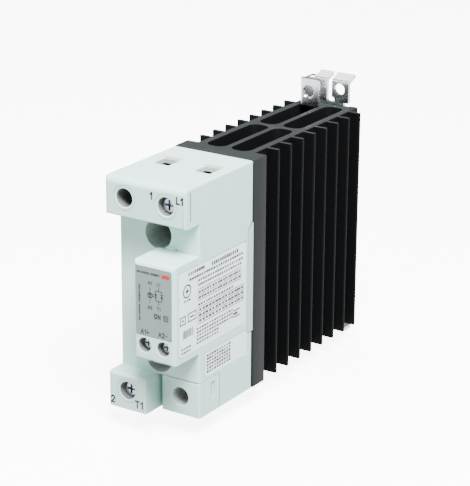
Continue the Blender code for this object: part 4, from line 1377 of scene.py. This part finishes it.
bigScrew = {"head": 3.1, "length": 2.6, "shank": 2.45}
smallScrew = {"head": 2.3, "length": 1.4, "shank": 1.45, "reach": 7.4}
fixingScrew = {"head": 3.5, "length": 3.0, "shank": 2.0, "reach": 16.1}
heads = {
    "line_clamp_screw": {**bigScrew, "spot": screwSpots["line"], "body": "line_screw", "reach": 21.1},
    "load_clamp_screw": {**bigScrew, "spot": screwSpots["load"], "body": "load_screw", "reach": 20.4},
}
for name, driver, x in zip(("a1_screw", "a2_screw"), ("a1_driver", "a2_driver"), block["screws"]):
    heads[name] = {**smallScrew, "spot": (x, block["screwHead"], block["screwHeight"]), "body": driver}
for name, z in zip(("upper_fixing_screw", "lower_fixing_screw"), fixing["heights"]):
    heads[name] = {**fixingScrew, "spot": (fixing["x"], fixing["head"], z), "body": "relay_body"}
pans = {  # which place behind the heat sink, on which side of it, how deep
    "clip_screw_left": ("clip", -1, 5.3),
    "clip_screw_right": ("clip", 1, 5.3),
    "guide_screw_left": ("guide", -1, 5.3),
    "guide_screw_right": ("guide", 1, 5.3),
    "spring_pin": ("pin", 1, 3.7),
}


def lathe(name, profile, spot, way, sides=48):  # (radius, height) pairs from the top down, height along way
    shape = bmesh.new()
    rings = []
    for radius, height in profile:
        if radius <= 0:
            rings.append([shape.verts.new((0, 0, height * mm))])
            continue
        turns = [2 * pi * i / sides for i in range(sides)]
        ring = [(radius * mm * cos(turn), radius * mm * sin(turn), height * mm) for turn in turns]
        rings.append([shape.verts.new(corner) for corner in ring])
    for upper, lower in zip(rings, rings[1:]):
        for i in range(sides):
            j = (i + 1) % sides
            if len(upper) == 1:
                shape.faces.new((upper[0], lower[i], lower[j]))
            elif len(lower) == 1:
                shape.faces.new((upper[j], upper[i], lower[0]))
            else:
                shape.faces.new((upper[j], upper[i], lower[i], lower[j]))
    turn = Vector(way).to_track_quat("Z", "Y").to_matrix().to_4x4()
    bmesh.ops.transform(shape, matrix=Matrix.Translation(at(*spot)) @ turn, verts=shape.verts)
    return newPiece(name, shape)


def driverRecess(spot, reach, depth, way):  # a cross with tapered arms
    x, y, z = spot
    tools = []
    end = y - way * depth
    for tilt in (0.0, pi / 2):
        across = Vector((cos(tilt), 0, sin(tilt)))
        thin = Vector((-sin(tilt), 0, cos(tilt)))
        shape = bmesh.new()
        rings = []
        for place, half, wide in ((y + way * 0.2, reach, reach * 0.24), (end, reach * 0.45, reach * 0.17)):
            ring = []
            for a, b in ((-1, -1), (1, -1), (1, 1), (-1, 1)):
                offset = across * (a * half) + thin * (b * wide)
                ring.append(shape.verts.new(at(x + offset.x, place, z + offset.z)))
            rings.append(ring)
        shape.faces.new(rings[0])
        shape.faces.new(list(reversed(rings[1])))
        for i in range(4):
            j = (i + 1) % 4
            shape.faces.new((rings[0][j], rings[0][i], rings[1][i], rings[1][j]))
        tools.append(newPiece("recess", shape))
    return tools


def clampScrews():
    for name, head in heads.items():
        x, y, z = head["spot"]
        radius, length, shank, reach = head["head"], head["length"], head["shank"], head["reach"]
        rim = radius * 0.16
        profile = [
            (0, 0),
            (radius * 0.72, 0),
            (radius - rim, -0.06),
            (radius - rim * 0.3, -rim * 0.45),
            (radius, -rim * 1.4),
            (radius, -length + 0.15),
            (radius - 0.15, -length),
            (shank, -length),
            (shank, -reach + 0.7),
            (shank - 0.7, -reach),
            (0, -reach),
        ]
        made = lathe("screwBlank", profile, head["spot"], (0, -1, 0), 64)
        carve(made, *driverRecess(head["spot"], radius * 0.66, length * 0.62, -1))
        soften(made)
        if shank > 1.5:  # the small screws' thread doesn't show
            pitch = 0.8
            turns = (reach - length - 2 * pitch) / pitch
            thread = grow(
                "thread",
                coilNet,
                paint["screw_steel"],
                spot=(x, y + reach - 1.0, z),
                turn=facingBack,
                Turns=turns,
                Radius=(shank - 0.06) * mm,
                Rise=turns * pitch * mm,
                Wire=0.00012,
                Steps=20,
                Sides=5,
            )
            made = gather("threadedScrew", made, thread)
        made.name = camel(name)
        dress(made, paint["screw_steel"], head["body"], [name])


def panScrews():
    for name, (place, side, depth) in pans.items():
        x, z = side * rearSpots[place][0], rearSpots[place][1]
        profile = [
            (0, 1.6),
            (1.0, 1.56),
            (1.8, 1.38),
            (2.4, 1.0),
            (2.66, 0.55),
            (2.7, 0.1),
            (2.62, 0.0),
            (1.45, 0.0),
            (1.45, -depth + 0.3),
            (1.15, -depth),
            (0, -depth),
        ]
        made = lathe(camel(name), profile, (x, 84.7, z), (0, 1, 0), 48)
        carve(made, *driverRecess((x, 86.3, z), 1.5, 1.0, 1))
        soften(made)
        dress(made, paint["screw_steel"], "relay_body", [name])


clampScrews()
panScrews()
print("screws made")


# rail clip with the earth terminal, and the rail latch

sheet = {
    "front": 82.9,
    "back": 84.4,
    "half": 8.75,
    "low": 58.0,
    "bend": 99.5,
    "tilt": 22.0,
    "flange": 5.7,
    "earthFront": 74.5,
    "earthTop": 100.7,
    "earthLow": 89.7,
    "earthRight": -0.15,
    "earthHole": (-4.75, 95.4),
    "eye": (4.6, 95.9),
    "screwHole": 1.75,
}


def hook(edge, way):  # the bent lip that grips the rail
    near, inside, far = 83.2, 86.2, 87.7
    lip, inner, outer = edge - way * 2.0, edge + way * 0.3, edge + way * 1.8
    outline = [
        (near, inner, 0),
        (inside, inner, 0.4),
        (inside, lip, 0.2),
        (far, lip, 0.3),
        (far, outer, 1.2),
        (near, outer, 0),
    ]
    if way < 0:
        outline.reverse()
    return prism(roundLoop(outline, 5), "x", -6.0, 6.0)


def railClip():
    front, back, half = sheet["front"], sheet["back"], sheet["half"]
    tilt = radians(sheet["tilt"])
    lift = Vector((cos(tilt), sin(tilt)))
    across = Vector((-lift.y, lift.x)) * 1.5
    start = Vector((front, sheet["bend"]))
    end = start + lift * sheet["flange"]
    innerEnd = end - across
    inner = Vector((back, innerEnd.y - (innerEnd.x - back) * sin(tilt) / cos(tilt)))
    outline = [
        (front, sheet["low"], 0.2),
        (back, sheet["low"], 0.2),
        (*inner, 0.7),
        (*innerEnd, 0.25),
        (*end, 0.35),
        (*start, 1.6),
    ]
    made = prism(roundLoop(outline, 8), "x", -half, half, "railClip")
    near, right = sheet["earthFront"], sheet["earthRight"]
    low, high = sheet["earthLow"], sheet["earthTop"]
    plan = [
        (-half, near, 1.3),
        (right, near, 0.15),
        (right, near + 1.5, 0.15),
        (-half + 1.5, near + 1.5, 0.5),
        (-half + 1.5, back, 0),
        (-half, back, 0),
    ]
    angle = prism(roundLoop(plan, 6), "z", low - 1, high + 1)
    face = roundLoop([(-half - 1, low, 0), (right, low, 1.7), (right, high, 0.5), (-half - 1, high, 0)], 5)
    carve(angle, prism(face, "y", near - 1, back + 1), operation="INTERSECT")
    carve(angle, slab((-half - 0.3, near + 2.0, high - 0.5), (-half + 2, back + 1, high + 2)))
    join(made, angle, hook(62.2, 1))
    x, z = sheet["earthHole"]
    eyeX, eyeZ = sheet["eye"]
    slit = [(-1.1, 90.3, 0.9), (2.3, 90.3, 0.6), (2.3, 92.3, 0.6), (1.1, 92.3, 0.25), (1.1, 109.0, 0), (-1.1, 109.0, 0)]
    tools = [
        pillar((x, near - 0.3, z), (x, near + 1.8, z), 2.35, sides=64),
        pillar((x, near - 0.01, z), (x, near + 0.3, z), 2.75, 2.4, sides=64),
        pillar((eyeX, front - 0.3, eyeZ), (eyeX, back + 0.3, eyeZ), 2.35, sides=64),
        prism(roundLoop(slit, 4), "y", front - 0.3, back + 7),
        slab((half - 2.1, front - 0.3, 89.1), (half + 0.3, back + 0.3, 90.6)),
        slab((-half - 0.3, back + 0.05, 97.4), (-half + 1.9, back + 8, 109.4)),
    ]
    screwX, screwZ = rearSpots["clip"]
    for side in (-1, 1):
        hole = side * screwX
        tools.append(pillar((hole, front - 0.3, screwZ), (hole, back + 0.3, screwZ), sheet["screwHole"], sides=32))
    carve(made, *tools)
    soften(made)
    thread = grow(
        "earthThread",
        coilNet,
        paint["zinc_steel"],
        spot=(x, near + 1.45, z),
        turn=facingBack,
        Turns=1.6,
        Radius=0.00245,
        Rise=0.0013,
        Wire=0.00022,
        Steps=40,
        Sides=6,
    )
    dress(thread, paint["zinc_steel"], "relay_body")
    dress(made, paint["zinc_steel"], "relay_body", ["rail_clip"])


def railLatch():
    front, back, half = sheet["front"], sheet["back"], sheet["half"]
    outline = [
        (front, -7.3, 1.0),
        (90.0, -7.3, 0.3),
        (90.0, -5.8, 0.3),
        (back, -5.8, 0.6),
        (back, 26.9, 0.2),
        (front, 26.9, 0.2),
    ]
    made = prism(roundLoop(outline, 6), "x", -half, half, "railLatch")
    join(made, hook(27.2, -1))
    tools = [
        prism(roundRect(-2.1, 6.25, 2.1, 20.0, 0.5), "y", front - 0.3, back + 0.3),
        prism(roundRect(-2.6, 85.9, 2.6, 88.5, 0.6), "z", -7.6, -5.5),
    ]
    wide = sheet["screwHole"]
    for x in (-rearSpots["guide"][0], rearSpots["guide"][0]):
        tools.append(prism(roundRect(x - wide, 12.25, x + wide, 20.75, 1.7, 8), "y", front - 0.3, back + 0.3))
    carve(made, *tools)
    soften(made)
    dress(made, paint["zinc_steel"], "latch", ["rail_latch"])


spring = {"low": 11.4, "high": 19.3, "wire": 0.2, "radius": 1.45, "turns": 6.0, "depth": 83.65, "keep": 0.38}


def latchSpring():  # a compression coil between the fixed pin and the top of the latch's window
    low, wire, depth = spring["low"], spring["wire"], spring["depth"]
    made = grow(
        "latchSpring",
        coilNet,
        paint["screw_steel"],
        spot=(0, depth, low),
        Turns=spring["turns"],
        Radius=spring["radius"] * mm,
        Rise=(spring["high"] - low) * mm,
        Wire=wire * mm,
        Steps=28,
        Sides=10,
    )
    made.data.shade_smooth()
    dress(made, paint["screw_steel"], "relay_body", ["latch_spring"])
    at(0, depth, low - wire)
    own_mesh(made)


railClip()
railLatch()
latchSpring()
print("rail clip and latch made")
